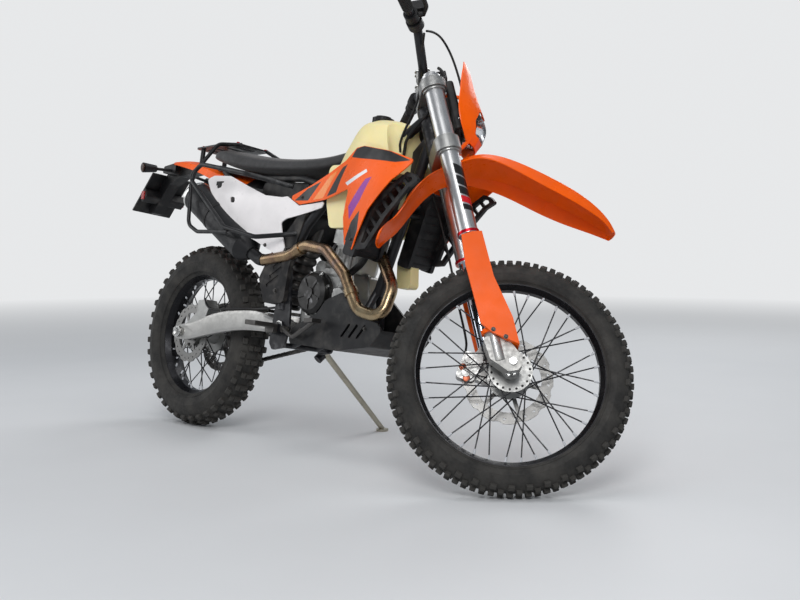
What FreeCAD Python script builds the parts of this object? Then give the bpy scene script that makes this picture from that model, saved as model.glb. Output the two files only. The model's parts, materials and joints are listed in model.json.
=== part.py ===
import FreeCAD, Part
import os
from math import acos, asin, atan2, cos, degrees, hypot, pi, radians, sin, tan

# Enduro motorcycle, parked on its side stand with the bars on the left steering stop.
# Every piece is modelled on an upright machine that points along +X, with its left side
# on +Y, the rear axle over x = 0 and the ground at z = 0. The whole is then steered,
# leaned onto the stand and set down, with the origin under the middle of its box.

# Wheels and steering geometry
WHEELBASE = 1487.0
RAKE = radians(26.1)
AXLE_LEAD = 56.0
FORK_LEAD = 22.0
FORK_HALF_SPACING = 103.0
STEER_LOCK = 45.0
LEAN = 10.0

FRONT_TYRE_R = 350.0
FRONT_TYRE_HALF_WIDTH = 45.0
FRONT_BEAD_R = 270.0
FRONT_RIM_R = 280.0
FRONT_RIM_HALF_WIDTH = 27.0
FRONT_RIM_DEPTH = 26.0
REAR_TYRE_R = 342.0
REAR_TYRE_HALF_WIDTH = 66.0
REAR_BEAD_R = 229.0
REAR_RIM_R = 240.0
REAR_RIM_HALF_WIDTH = 36.0
REAR_RIM_DEPTH = 28.0
FRONT_CROWN_DROP = 26.0
REAR_CROWN_DROP = 30.0
FRONT_PITCHES = 38
REAR_PITCHES = 30
LUG_HEIGHT = 13.0
LUG_GAP = 9.0
TYRE_WALL = 12.0
BEAD_WIDTH = 9.0
RIM_LIP = 4.0
SPOKE_COUNT = 36
SPOKE_R = 2.0
HUB_R = 26.0
FRONT_HUB_HALF_WIDTH = 38.0
REAR_HUB_HALF_WIDTH = 52.0
HUB_FLANGE_R = 62.0
HUB_FLANGE_T = 5.0
FRONT_AXLE_R = 11.0
REAR_AXLE_R = 12.5
BEARING_GAP = 0.3
FRONT_DISC_R = 130.0
FRONT_DISC_Y = 54.0
REAR_DISC_R = 110.0
REAR_DISC_Y = 66.0
DISC_T = 4.0
DISC_BAND = 34.0
DISC_ARMS = 6
DISC_WAVES = 12
WAVE_R = 24.0
WAVE_DEPTH = 5.0
SLOT_R = 3.5

# Fork and clamps, lengths along the head axis from the level of the axle
FORK_TUBE_R = 29.0
FORK_SLIDER_R = 24.0
FORK_TOP = 946.0
FORK_TUBE_BOTTOM = 400.0
UPPER_CLAMP_AT = 912.0
UPPER_CLAMP_T = 30.0
LOWER_CLAMP_AT = 700.0
LOWER_CLAMP_T = 42.0
CLAMP_WALL = 11.0
STEM_R = 15.0
HEAD_TUBE_R = 29.0
HEAD_TUBE_GAP = 2.0
LUG_BLOCK_H = 84.0

# Handlebar
BAR_R = 14.3
BAR_END_R = 11.0
BAR_HALF_WIDTH = 406.0
BAR_AT = 988.0
BAR_RISE = 82.0
BAR_SWEEP = 62.0
GRIP_R = 16.5
GRIP_LENGTH = 125.0

# Frame
SPAR_R = 16.0
DOWN_TUBE_R = 17.0
CRADLE_R = 12.5
SUBFRAME_R = 11.0
PIVOT_X = 590.0
PIVOT_Z = 405.0
PIVOT_BOLT_R = 9.0
PLATE_IN = 100.0
PLATE_T = 8.0

# Engine
CASE_HALF_WIDTH = 78.0
CLUTCH_X = 725.0
CLUTCH_Z = 522.0
CLUTCH_R = 76.0
CLUTCH_T = 42.0
GENERATOR_X = 780.0
GENERATOR_Z = 500.0
GENERATOR_R = 68.0
GENERATOR_T = 40.0
CYLINDER_TILT = radians(9.0)
CYLINDER_FOOT_X = 800.0
CYLINDER_FOOT_Z = 596.0
BARREL_H = 92.0
BARREL_HALF = 58.0
HEAD_H = 104.0
HEAD_HALF_X = 72.0
HEAD_HALF_Y = 66.0
COVER_H = 26.0
COVER_FLANGE_T = 10.0
COVER_SCREWS = 8
COVER_RIBS = 5
RADIATOR_FINS = 9
SHOCK_ROD_R = 9.0
SHOCK_BODY_R = 27.0
SPRING_R = 40.0
SPRING_TURNS = 7
HEADER_R = 19.0
MUFFLER_R = 56.0

# Chain drive on the left
CHAIN_Y = 82.0
CHAIN_HALF_WIDTH = 9.5
CHAIN_HALF_HEIGHT = 6.5
CHAIN_ROLLER_HALF = 5.0
CHAIN_ROLLER_R = 4.5
SPROCKET_X = 662.0
SPROCKET_Z = 412.0
FRONT_SPROCKET_PITCH_R = 35.7
REAR_SPROCKET_PITCH_R = 126.0
SPROCKET_T = 6.0
SPROCKET_RING = 22.0
SPROCKET_ARMS = 6
SPROCKET_GAP = 1.0

# Swingarm
ARM_INNER = 95.0
ARM_T = 22.0
ARM_FRONT_INNER = 66.0

# Side stand
STAND_PIVOT = (556.0, 129.0, 334.0)
STAND_FOOT_X = 604.0
STAND_FOOT_Y = 412.0
STAND_R = 10.0
STAND_FOOT_T = 8.0
STAND_FOOT_HALF = 22.0
STAND_PIN_R = 7.0
STAND_EYE_HALF = 11.0

# Bodywork
SKIN_T = 4.0
SKID_HALF = 112.0
SKID_WALL = 7.0
CAP_GRIPS = 10
GUARD_SLATS = 7
GUARD_IN = 166.0
GUARD_T = 12.0

# Luggage rack
RACK_Y = 214.0
RACK_TUBE_R = 8.0

# Running clearance between moving pieces
CLEAR = 6.0

FRONT_AXLE = (WHEELBASE, 0.0, FRONT_TYRE_R)
REAR_AXLE = (0.0, 0.0, REAR_TYRE_R)


def vec(x, y, z):
    return FreeCAD.Vector(x, y, z)


X_AXIS = vec(1, 0, 0)
Y_AXIS = vec(0, 1, 0)
Z_AXIS = vec(0, 0, 1)
HEAD_DIR = vec(-sin(RAKE), 0, cos(RAKE))
HEAD_LEAD = vec(cos(RAKE), 0, sin(RAKE))
HEAD_BASE = vec(*FRONT_AXLE) - HEAD_LEAD * AXLE_LEAD


def head(lead, up, y=0.0):
    """Point by its lead ahead of the head axis and its height along that axis."""
    return HEAD_BASE + HEAD_LEAD * lead + HEAD_DIR * up + Y_AXIS * y


def fuse(shapes):
    shapes = list(shapes)
    if len(shapes) == 1:
        return shapes[0]
    return shapes[0].multiFuse(shapes[1:]).removeSplitter()


def cut(shape, tools):
    return shape.cut(list(tools))


def mirrored(shape):
    return shape.mirror(vec(0, 0, 0), Y_AXIS)


def ring_of(count, radius, x, z, phase=0.0):
    """Evenly spaced (x, z) places on a circle in side view."""
    turns = [phase + 2 * pi * i / count for i in range(count)]
    return [(x + radius * cos(turn), z + radius * sin(turn)) for turn in turns]


def both_sides(shape):
    return Part.makeCompound([shape, mirrored(shape)])


def rod(start, end, radius):
    return Part.makeCylinder(radius, (end - start).Length, start, end - start)


def cone(start, end, r_start, r_end):
    return Part.makeCone(r_start, r_end, (end - start).Length, start, end - start)


def cross_rod(x, z, y0, y1, radius):
    return rod(vec(x, min(y0, y1), z), vec(x, max(y0, y1), z), radius)


def closed_wire(points):
    return Part.makePolygon(list(points) + [points[0]])


def rounded_wire(points, radius):
    """Closed polygon with each corner rounded, by less where its sides are short."""
    count = len(points)
    pieces = []
    entries = []
    for i, corner in enumerate(points):
        before = points[i - 1]
        after = points[(i + 1) % count]
        to_before = (before - corner)
        to_after = (after - corner)
        half = to_before.getAngle(to_after) / 2
        reach = min(radius / tan(half), 0.45 * to_before.Length, 0.45 * to_after.Length)
        start = corner + to_before.normalize() * reach
        end = corner + to_after.normalize() * reach
        bisector = (to_before + to_after)
        if bisector.Length < 1e-3:
            entries.append((start, None, end))
            continue
        true_radius = reach * tan(half)
        centre = corner + bisector.normalize() * (true_radius / sin(half))
        middle = centre + (corner - centre).normalize() * true_radius
        entries.append((start, middle, end))
    for i, (start, middle, end) in enumerate(entries):
        if middle is None:
            pieces.append(Part.LineSegment(start, end).toShape())
        else:
            pieces.append(Part.Arc(start, middle, end).toShape())
        following = entries[(i + 1) % count][0]
        if (following - end).Length > 1e-3:
            pieces.append(Part.LineSegment(end, following).toShape())
    return Part.Wire(pieces)


def plate(outline, y0, y1, radius=0.0):
    """Flat plate from a side view outline of (x, z) points."""
    points = [vec(x, y0, z) for x, z in outline]
    wire = rounded_wire(points, radius) if radius else closed_wire(points)
    return Part.Face(wire).extrude(vec(0, y1 - y0, 0))


def head_plate(outline, up0, up1, radius=0.0):
    """Flat plate square to the head axis from (lead, y) points."""
    points = [head(lead, up0, y) for lead, y in outline]
    wire = rounded_wire(points, radius) if radius else closed_wire(points)
    return Part.Face(wire).extrude(HEAD_DIR * (up1 - up0))


def pipe(points, radius, bend):
    """Round bar along straight runs joined by tangent arcs."""
    edges = []
    here = points[0]
    for i in range(1, len(points) - 1):
        corner = points[i]
        to_before = (points[i - 1] - corner)
        to_after = (points[i + 1] - corner)
        half = to_before.getAngle(to_after) / 2
        reach = min(bend / tan(half), 0.45 * to_before.Length, 0.45 * to_after.Length)
        true_radius = reach * tan(half)
        start = corner + to_before.normalize() * reach
        end = corner + to_after.normalize() * reach
        bisector = (to_before + to_after).normalize()
        centre = corner + bisector * (true_radius / sin(half))
        middle = centre + (corner - centre).normalize() * true_radius
        edges.append(Part.LineSegment(here, start).toShape())
        edges.append(Part.Arc(start, middle, end).toShape())
        here = end
    edges.append(Part.LineSegment(here, points[-1]).toShape())
    path = Part.Wire(edges)
    profile = Part.Wire([Part.makeCircle(radius, points[0], points[1] - points[0])])
    return path.makePipeShell([profile], True, True)


def revolved(profile, centre):
    """Solid turned about the cross axis through centre from (radius, y) points."""
    cx, cy, cz = centre
    points = [vec(cx, cy + y, cz + r) for r, y in profile]
    return Part.Face(closed_wire(points)).revolve(vec(cx, cy, cz), Y_AXIS, 360)


def on_wheel(centre, radius, y, angle):
    """Point at a radius, side distance and angle round a wheel's axle."""
    cx, cy, cz = centre
    return vec(cx + radius * cos(angle), cy + y, cz + radius * sin(angle))


def faceted_ring(sections, ends, centre):
    """Ring of flat facets: one closed (radius, y) section per step, with the walls between steps."""
    steps = len(sections)
    angles = [2 * pi * i / steps for i in range(steps + 1)]
    faces = []
    for i, section_points in enumerate(sections):
        around = section_points[1:] + section_points[:1]
        for (r0, y0), (r1, y1) in zip(section_points, around):
            faces.append([on_wheel(centre, r0, y0, angles[i]), on_wheel(centre, r1, y1, angles[i]),
                          on_wheel(centre, r1, y1, angles[i + 1]), on_wheel(centre, r0, y0, angles[i + 1])])
        for wall in ends:
            faces.append([on_wheel(centre, r, y, angles[i]) for r, y in wall])
    shell = Part.Shell([Part.Face(closed_wire(points)) for points in faces])
    solid = Part.Solid(shell)
    if solid.Volume < 0:
        solid.reverse()
    return solid


def loft(sections, ruled=True):
    return Part.makeLoft([closed_wire(points) for points in sections], True, ruled)


def flowing(sections):
    """Solid that flows smoothly lengthwise through closed polygons with equal corners."""
    return Part.makeLoft([closed_wire(points) for points in sections], True, False)


def moulded(rows, thickness):
    """Moulded sheet: one smooth surface through rows of points, thickened along a direction."""
    surface = Part.BSplineSurface()
    surface.interpolate(rows)
    return surface.toShape().extrude(thickness)


def smooth_loft(sections, radius):
    """Solid that flows smoothly through closed polygons whose corners are rounded."""
    return Part.makeLoft([rounded_wire(points, radius) for points in sections], True, False)


def ribbon(rows, offsets):
    """Thin shell through rows of surface points, with each row thickened by its offset."""
    sections = []
    for row, offset in zip(rows, offsets):
        sections.append(list(row) + [p + offset for p in reversed(row)])
    return flowing(sections)


# Wheels

def tyre(centre, outer_r, half_width, rim_r, bead_r, rim_half, crown_drop, pitches):
    """Knobbly tyre with two staggered rows of lugs, seated between the lips of its rim."""
    steps = 2 * pitches
    facet = 1 / cos(pi / steps)

    def crown(y):
        return outer_r - crown_drop * (y / half_width) ** 2
    gap = LUG_GAP / 2
    foot = (crown(gap) - LUG_HEIGHT, gap)
    shoulder_r = crown(half_width) - 1.3 * LUG_HEIGHT
    shoulder = (shoulder_r, 0.94 * half_width)
    lug = [(crown(gap), gap), (crown(0.6 * half_width), 0.6 * half_width), (crown(half_width), half_width)]
    groove = [(crown(0.66 * half_width) - LUG_HEIGHT, 0.64 * half_width)]
    heel_y = rim_half - RIM_LIP
    side = [shoulder, ((rim_r + shoulder_r) / 2, 0.97 * half_width), (rim_r * facet, heel_y),
            (bead_r * facet, heel_y), (bead_r * facet, heel_y - BEAD_WIDTH), (shoulder_r, 0.97 * half_width - TYRE_WALL)]

    def half(tread, sign):
        return [(r, sign * y) for r, y in [foot] + tread + side]
    sections = []
    for i in range(steps):
        left, right = (lug, groove) if i % 2 else (groove, lug)
        sections.append(half(left, 1) + half(right, -1)[::-1])
    wall = [foot] + lug + [shoulder] + groove
    return faceted_ring(sections, [wall, [(r, -y) for r, y in wall]], centre)


def rim(centre, rim_r, bead_r, half_width, depth):
    """Drop centre rim with a lip on each side."""
    well_r = rim_r - depth
    seat_y = half_width - RIM_LIP
    outline = [
        (rim_r, -half_width), (rim_r, -seat_y), (bead_r, -seat_y), (bead_r, -0.5 * half_width),
        (well_r + RIM_LIP, -0.3 * half_width), (well_r + RIM_LIP, 0.3 * half_width),
        (bead_r, 0.5 * half_width), (bead_r, seat_y), (rim_r, seat_y), (rim_r, half_width),
        (bead_r - RIM_LIP, half_width), (well_r, 0.4 * half_width), (well_r, -0.4 * half_width),
        (bead_r - RIM_LIP, -half_width),
    ]
    return revolved(outline, centre)


def spokes(centre, half_width, rim_well_r):
    """Crossed spokes from both hub flanges to the middle of the rim."""
    cx, cy, cz = centre
    made = []
    hole_r = HUB_FLANGE_R - 6
    for i in range(SPOKE_COUNT):
        side = 1 if i % 2 else -1
        lean = 1 if i % 4 < 2 else -1
        rim_angle = 2 * pi * i / SPOKE_COUNT
        hub_angle = rim_angle + lean * radians(52)
        start = vec(cx + hole_r * cos(hub_angle), cy + side * (half_width - HUB_FLANGE_T / 2),
                    cz + hole_r * sin(hub_angle))
        end = vec(cx + rim_well_r * cos(rim_angle), cy + side * 5.0, cz + rim_well_r * sin(rim_angle))
        made.append(rod(start, end, SPOKE_R))
    return made


def hub(centre, half_width, axle_r, rim_well_r):
    outline = [
        (axle_r + BEARING_GAP, -half_width - 8), (HUB_R - 4, -half_width - 8), (HUB_R, -half_width),
        (HUB_FLANGE_R, -half_width), (HUB_FLANGE_R, -half_width + HUB_FLANGE_T),
        (HUB_R + 6, -half_width + 2 * HUB_FLANGE_T), (HUB_R, 0), (HUB_R + 6, half_width - 2 * HUB_FLANGE_T),
        (HUB_FLANGE_R, half_width - HUB_FLANGE_T), (HUB_FLANGE_R, half_width), (HUB_R, half_width),
        (HUB_R - 4, half_width + 8), (axle_r + BEARING_GAP, half_width + 8),
    ]
    return fuse([revolved(outline, centre)] + spokes(centre, half_width, rim_well_r))


def disc(centre, outer_r, y, hub_reach):
    """Wave brake disc with slots and a carrier that seats on the hub flange."""
    cx, cy, cz = centre
    side = 1 if y > 0 else -1
    low, high = y - DISC_T / 2, y + DISC_T / 2
    inner_r = outer_r - DISC_BAND
    band = revolved([(inner_r, low), (outer_r, low), (outer_r, high), (inner_r, high)], centre)
    waves = [cross_rod(x, z, low - 1, high + 1, WAVE_R)
             for x, z in ring_of(DISC_WAVES, outer_r + WAVE_R - WAVE_DEPTH, cx, cz)]
    slots = [cross_rod(x, z, low - 1, high + 1, SLOT_R)
             for x, z in ring_of(2 * DISC_WAVES, outer_r - 0.42 * DISC_BAND, cx, cz, pi / DISC_WAVES / 2)]
    carrier_in = HUB_R + 2.0
    carrier_out = HUB_FLANGE_R - 12
    face = y + side * DISC_T / 2
    carrier = revolved([(carrier_in, hub_reach), (carrier_out, hub_reach), (carrier_out, face),
                        (carrier_in, face)], centre)
    arms = []
    for i in range(DISC_ARMS):
        arm = Part.makeBox(inner_r - carrier_out + 8, DISC_T, 12, vec(carrier_out - 4, -DISC_T / 2, -6))
        arm.rotate(vec(0, 0, 0), Y_AXIS, 360.0 / DISC_ARMS * i)
        arm.translate(vec(cx, y, cz))
        arms.append(arm)
    return fuse([band.cut(waves + slots), carrier] + arms)


def front_tyre():
    return tyre(FRONT_AXLE, FRONT_TYRE_R, FRONT_TYRE_HALF_WIDTH, FRONT_RIM_R, FRONT_BEAD_R, FRONT_RIM_HALF_WIDTH,
                FRONT_CROWN_DROP, FRONT_PITCHES)


def rear_tyre():
    return tyre(REAR_AXLE, REAR_TYRE_R, REAR_TYRE_HALF_WIDTH, REAR_RIM_R, REAR_BEAD_R, REAR_RIM_HALF_WIDTH,
                REAR_CROWN_DROP, REAR_PITCHES)


def front_rim():
    return rim(FRONT_AXLE, FRONT_RIM_R, FRONT_BEAD_R, FRONT_RIM_HALF_WIDTH, FRONT_RIM_DEPTH)


def rear_rim():
    return rim(REAR_AXLE, REAR_RIM_R, REAR_BEAD_R, REAR_RIM_HALF_WIDTH, REAR_RIM_DEPTH)


def front_hub():
    return hub(FRONT_AXLE, FRONT_HUB_HALF_WIDTH, FRONT_AXLE_R, FRONT_RIM_R - FRONT_RIM_DEPTH - 0.7)


def rear_hub():
    return hub(REAR_AXLE, REAR_HUB_HALF_WIDTH, REAR_AXLE_R, REAR_RIM_R - REAR_RIM_DEPTH - 0.7)


def front_disc():
    return disc(FRONT_AXLE, FRONT_DISC_R, FRONT_DISC_Y, FRONT_HUB_HALF_WIDTH)


def rear_disc():
    return disc(REAR_AXLE, REAR_DISC_R, -REAR_DISC_Y, -REAR_HUB_HALF_WIDTH)


def rear_sprocket():
    """Ring, spider and carrier that seats on the hub flange."""
    rim_r = REAR_SPROCKET_PITCH_R - CHAIN_ROLLER_R - SPROCKET_GAP
    inner_r = rim_r - SPROCKET_RING
    low, high = CHAIN_Y - SPROCKET_T / 2, CHAIN_Y + SPROCKET_T / 2
    ring = revolved([(inner_r, low), (rim_r, low), (rim_r, high), (inner_r, high)], REAR_AXLE)
    holes = [cross_rod(x, z, low - 1, high + 1, SPROCKET_RING / 4)
             for x, z in ring_of(4 * SPROCKET_ARMS, rim_r - SPROCKET_RING / 2, 0, REAR_TYRE_R, pi / 24)]
    carrier_in = HUB_R + 2.0
    carrier_out = HUB_FLANGE_R - 8
    carrier = revolved([(carrier_in, REAR_HUB_HALF_WIDTH), (carrier_out, REAR_HUB_HALF_WIDTH),
                        (carrier_out, high), (carrier_in, high)], REAR_AXLE)
    arms = []
    for i in range(SPROCKET_ARMS):
        arm = Part.makeBox(inner_r - carrier_out + 8, SPROCKET_T, 16, vec(carrier_out - 4, -SPROCKET_T / 2, -8))
        arm.rotate(vec(0, 0, 0), Y_AXIS, 360.0 / SPROCKET_ARMS * i)
        arm.translate(vec(0, CHAIN_Y, REAR_TYRE_R))
        arms.append(arm)
    return fuse([ring.cut(holes), carrier] + arms)


# Fork and steering

def fork_tubes():
    """Outer tubes with a wiper collar below and a cap above."""
    side = -FORK_HALF_SPACING

    def ring(low, high, radius):
        return rod(head(FORK_LEAD, low, side), head(FORK_LEAD, high, side), radius)
    tube = ring(FORK_TUBE_BOTTOM, FORK_TOP, FORK_TUBE_R)
    collar = ring(FORK_TUBE_BOTTOM, FORK_TUBE_BOTTOM + 14, FORK_TUBE_R + 2)
    cap = ring(FORK_TOP, FORK_TOP + 8, FORK_TUBE_R - 6)
    return both_sides(fuse([tube, collar, cap]))


def axle_lug():
    """Cast block under one leg that reaches forward to the axle."""
    inner = FORK_HALF_SPACING - FORK_SLIDER_R - 4
    outer = FORK_HALF_SPACING + FORK_SLIDER_R - 4
    outline = [(-10, LUG_BLOCK_H), (FORK_LEAD + FORK_SLIDER_R + 3, LUG_BLOCK_H), (AXLE_LEAD + 24, 18),
               (AXLE_LEAD + 24, -14), (AXLE_LEAD + 8, -26), (AXLE_LEAD - 18, -26), (-4, 20)]
    points = [head(lead, up, inner) for lead, up in outline]
    return Part.Face(rounded_wire(points, 9.0)).extrude(vec(0, outer - inner, 0))


def fork_sliders():
    side = FORK_HALF_SPACING
    slider = rod(head(FORK_LEAD, 10, side), head(FORK_LEAD, FORK_TUBE_BOTTOM, side), FORK_SLIDER_R)
    leg = fuse([slider, axle_lug()])
    axle_hole = cross_rod(WHEELBASE, FRONT_TYRE_R, side - 40, side + 40, FRONT_AXLE_R)
    return both_sides(leg.cut(axle_hole))


def front_axle():
    outer = FORK_HALF_SPACING + FORK_SLIDER_R + 2
    shaft = cross_rod(WHEELBASE, FRONT_TYRE_R, -outer, outer, FRONT_AXLE_R)
    nut = cross_rod(WHEELBASE, FRONT_TYRE_R, FORK_HALF_SPACING + FORK_SLIDER_R - 4, outer + 8, FRONT_AXLE_R + 8)
    inner = FORK_HALF_SPACING - FORK_SLIDER_R - 4
    spacers = [cross_rod(WHEELBASE, FRONT_TYRE_R, sign * (FRONT_HUB_HALF_WIDTH + 8 + BEARING_GAP), sign * inner,
                         FRONT_AXLE_R + 6) for sign in (-1, 1)]
    return fuse([shaft, nut] + spacers)


def clamp(at, thickness, hug, stem_bore):
    low, high = at - thickness / 2, at + thickness / 2
    lug = hug + CLAMP_WALL
    side = FORK_HALF_SPACING
    outline = [(FORK_LEAD + lug, -side), (FORK_LEAD + lug - 8, -side / 2), (36, 0), (FORK_LEAD + lug - 8, side / 2),
               (FORK_LEAD + lug, side), (FORK_LEAD - lug, side), (-HEAD_TUBE_R, 24), (-HEAD_TUBE_R, -24),
               (FORK_LEAD - lug, -side)]
    bridge = head_plate(outline, low, high)
    bosses = [rod(head(FORK_LEAD, low, sign * side), head(FORK_LEAD, high, sign * side), lug) for sign in (-1, 1)]
    solid = fuse([bridge] + bosses)
    holes = [rod(head(FORK_LEAD, low - 1, sign * side), head(FORK_LEAD, high + 1, sign * side), hug)
             for sign in (-1, 1)]
    if stem_bore:
        holes.append(rod(head(0, low - 1), head(0, high + 1), STEM_R))
    return cut(solid, holes)


def triple_clamps():
    """Both clamps, the stem between them and the bar risers."""
    upper = clamp(UPPER_CLAMP_AT, UPPER_CLAMP_T, FORK_TUBE_R, False)
    lower = clamp(LOWER_CLAMP_AT, LOWER_CLAMP_T, FORK_TUBE_R, False)
    stem = rod(head(0, LOWER_CLAMP_AT), head(0, UPPER_CLAMP_AT + UPPER_CLAMP_T), STEM_R)
    risers = []
    for sign in (-1, 1):
        base = head(8, UPPER_CLAMP_AT, sign * 42)
        risers.append(rod(base, head(8, BAR_AT, sign * 42), 15))
        risers.append(rod(head(8, BAR_AT, sign * 42 - 17), head(8, BAR_AT, sign * 42 + 17), BAR_R + 9))
    bar = rod(head(8, BAR_AT, -80), head(8, BAR_AT, 80), BAR_R)
    return cut(fuse([upper, lower, stem] + risers), [bar])


def bar_line():
    half = BAR_HALF_WIDTH
    return [head(8, BAR_AT, 0), head(8, BAR_AT, 78), head(6, BAR_AT + BAR_RISE, 190),
            head(8 - BAR_SWEEP, BAR_AT + BAR_RISE + 10, half)]


def handlebar():
    line = bar_line()
    half = pipe(line, BAR_R, 60)
    along = (line[-1] - line[-2]).normalize()
    grip = rod(line[-1] - along * GRIP_LENGTH, line[-1] + along * 4, GRIP_R)
    one = fuse([half, grip])
    return fuse([one, mirrored(one)])


def bar_controls():
    """Perches, levers, the front master cylinder, the switch pods and the small display."""
    line = bar_line()
    along = (line[-1] - line[-2]).normalize()
    perch_at = line[-1] - along * (GRIP_LENGTH + 34)
    perch = rod(perch_at - along * 14, perch_at + along * 14, BAR_R + 8)
    forward = HEAD_LEAD
    lever_root = perch_at + forward * 34
    lever = pipe([lever_root - along * 6, lever_root + forward * 20 + along * 30,
                  lever_root + forward * 26 + along * 175], 6.5, 30)
    arm = rod(perch_at, lever_root, 9)
    pod_at = line[-1] - along * (GRIP_LENGTH + 72)
    pod = rod(pod_at - along * 15, pod_at + along * 15, BAR_R + 11)
    bar = rod(line[-2], line[-1], BAR_R)
    left = fuse([perch, arm, lever, pod]).cut(bar)
    master_base = perch_at + forward * 20 + HEAD_DIR * 10
    master = Part.makeBox(44, 30, 30, vec(-22, -15, 0))
    master.rotate(vec(0, 0, 0), Y_AXIS, -degrees(RAKE))
    master.translate(master_base)
    brake = fuse([perch, arm, lever, pod, master]).cut(bar)
    display = head_plate([(30, -34), (30, 34), (84, 34), (84, -34)], BAR_AT - 6, BAR_AT + 20, 6)
    return Part.makeCompound([left, mirrored(brake), display])


def fender_rows():
    """Ridge point, lean of the surface, half width, crease share and edge drop for each rib."""
    return [
        (1010, 646, 118, 34, 8), (1032, 706, 115, 58, 14), (1064, 800, 113, 66, 18), (1108, 880, 118, 67, 20),
        (1160, 934, 60, 67, 14), (1230, 988, 22, 92, 34), (1345, 1008, 2, 96, 60), (1470, 986, -14, 92, 70),
        (1575, 950, -24, 82, 62), (1650, 905, -38, 62, 40), (1694, 856, -52, 30, 14),
    ]


def front_fender():
    rows = []
    offsets = []
    for x, z, lean, half, drop in fender_rows():
        a = radians(lean)
        along = vec(cos(a), 0, sin(a))
        down = vec(sin(a), 0, -cos(a)) if lean < 90 else vec(sin(a), 0, -cos(a))
        ridge = vec(x, 0, z)
        row = []
        for share, fall in ((-1, 1.0), (-0.78, 0.42), (-0.42, 0.16), (0, 0.0), (0.42, 0.16), (0.78, 0.42), (1, 1.0)):
            row.append(ridge + Y_AXIS * (share * half) + down * (fall * drop))
        rows.append(row)
        offsets.append(down * 3.5)
    low = LOWER_CLAMP_AT - LOWER_CLAMP_T / 2
    mount = head_plate([(-2, -30), (48, -30), (48, 30), (-2, 30)], low - 14, low, 8)
    return fuse([ribbon(rows, offsets), mount])


def mask_rows():
    """Height, middle x, edge x and half width of the headlight mask."""
    return [(1022, 1226, 1196, 58), (1060, 1240, 1172, 88), (1105, 1240, 1152, 100), (1160, 1216, 1142, 98),
            (1220, 1180, 1132, 84), (1270, 1154, 1126, 66), (1304, 1132, 1120, 46)]


def headlight_mask():
    rows = []
    for z, middle, edge, half in mask_rows():
        row = []
        for share in (-1, -0.8, -0.45, 0, 0.45, 0.8, 1):
            bulge = 1 - abs(share) ** 2.2
            row.append(vec(edge + (middle - edge) * bulge, share * half, z))
        rows.append(row)
    shell = ribbon(rows, [vec(-4, 0, 0)] * len(rows))
    arms = []
    for side in (-50, 50):
        arms.append(rod(head(50, UPPER_CLAMP_AT, side), vec(1188, side, 1174), 6))
        arms.append(rod(head(50, LOWER_CLAMP_AT, side), vec(1204, side, 1036), 6))
    opening = plate_front([(-52, 1052), (52, 1052), (64, 1096), (50, 1140), (-50, 1140), (-64, 1096)], 1150, 1300, 14)
    return fuse([shell.cut(opening)] + arms)


def plate_front(outline, x0, x1, radius):
    points = [vec(x0, y, z) for y, z in outline]
    return Part.Face(rounded_wire(points, radius)).extrude(vec(x1 - x0, 0, 0))


def headlight():
    lens = plate_front([(-52, 1052), (52, 1052), (64, 1096), (50, 1140), (-50, 1140), (-64, 1096)], 1152, 1300, 14)
    rows = []
    for z, middle, edge, half in mask_rows()[1:4]:
        rows.append([vec(edge + (middle - edge) * (1 - abs(s) ** 2.2), s * half, z) for s in (-0.8, -0.45, 0, 0.45, 0.8)])
    low = [p + vec(0, 0, -12) for p in rows[0]]
    high = [p + vec(0, 0, 4) for p in rows[-1]]
    body = ribbon([low] + rows + [high], [vec(-70, 0, 0)] * 5)
    return lens.common(body)


def fork_guards():
    side = -FORK_HALF_SPACING
    outline = [(FORK_LEAD + 8, 396), (FORK_LEAD + 34, 392), (FORK_LEAD + 36, 250), (AXLE_LEAD + 26, 120),
               (AXLE_LEAD + 26, 40), (FORK_LEAD - 6, 88), (FORK_LEAD - 30, 120), (FORK_LEAD - 34, 300), (FORK_LEAD - 26, 392)]
    points = [head(lead, up, side - FORK_SLIDER_R - 14) for lead, up in outline]
    block = Part.Face(closed_wire(points)).extrude(vec(0, 2 * FORK_SLIDER_R + 14, 0))
    hollow_r = FORK_SLIDER_R + 5
    hollow = rod(head(FORK_LEAD, 0, side), head(FORK_LEAD, 420, side), hollow_r)
    front = fuse([hollow, head_plate([(FORK_LEAD - 60, side - hollow_r), (FORK_LEAD - 60, side + 80),
                                      (FORK_LEAD + hollow_r, side + 80), (FORK_LEAD + hollow_r, side),
                                      (FORK_LEAD, side - hollow_r)], 0, 420)])
    lug = mirrored(axle_lug())
    shell = block.cut(front).cut(lug)
    foot = rod(head(FORK_LEAD, 96, side), head(FORK_LEAD, 108, side), hollow_r + 2)
    ring = foot.cut(rod(head(FORK_LEAD, 90, side), head(FORK_LEAD, 120, side), FORK_SLIDER_R))
    return both_sides(fuse([shell, ring]))


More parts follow.
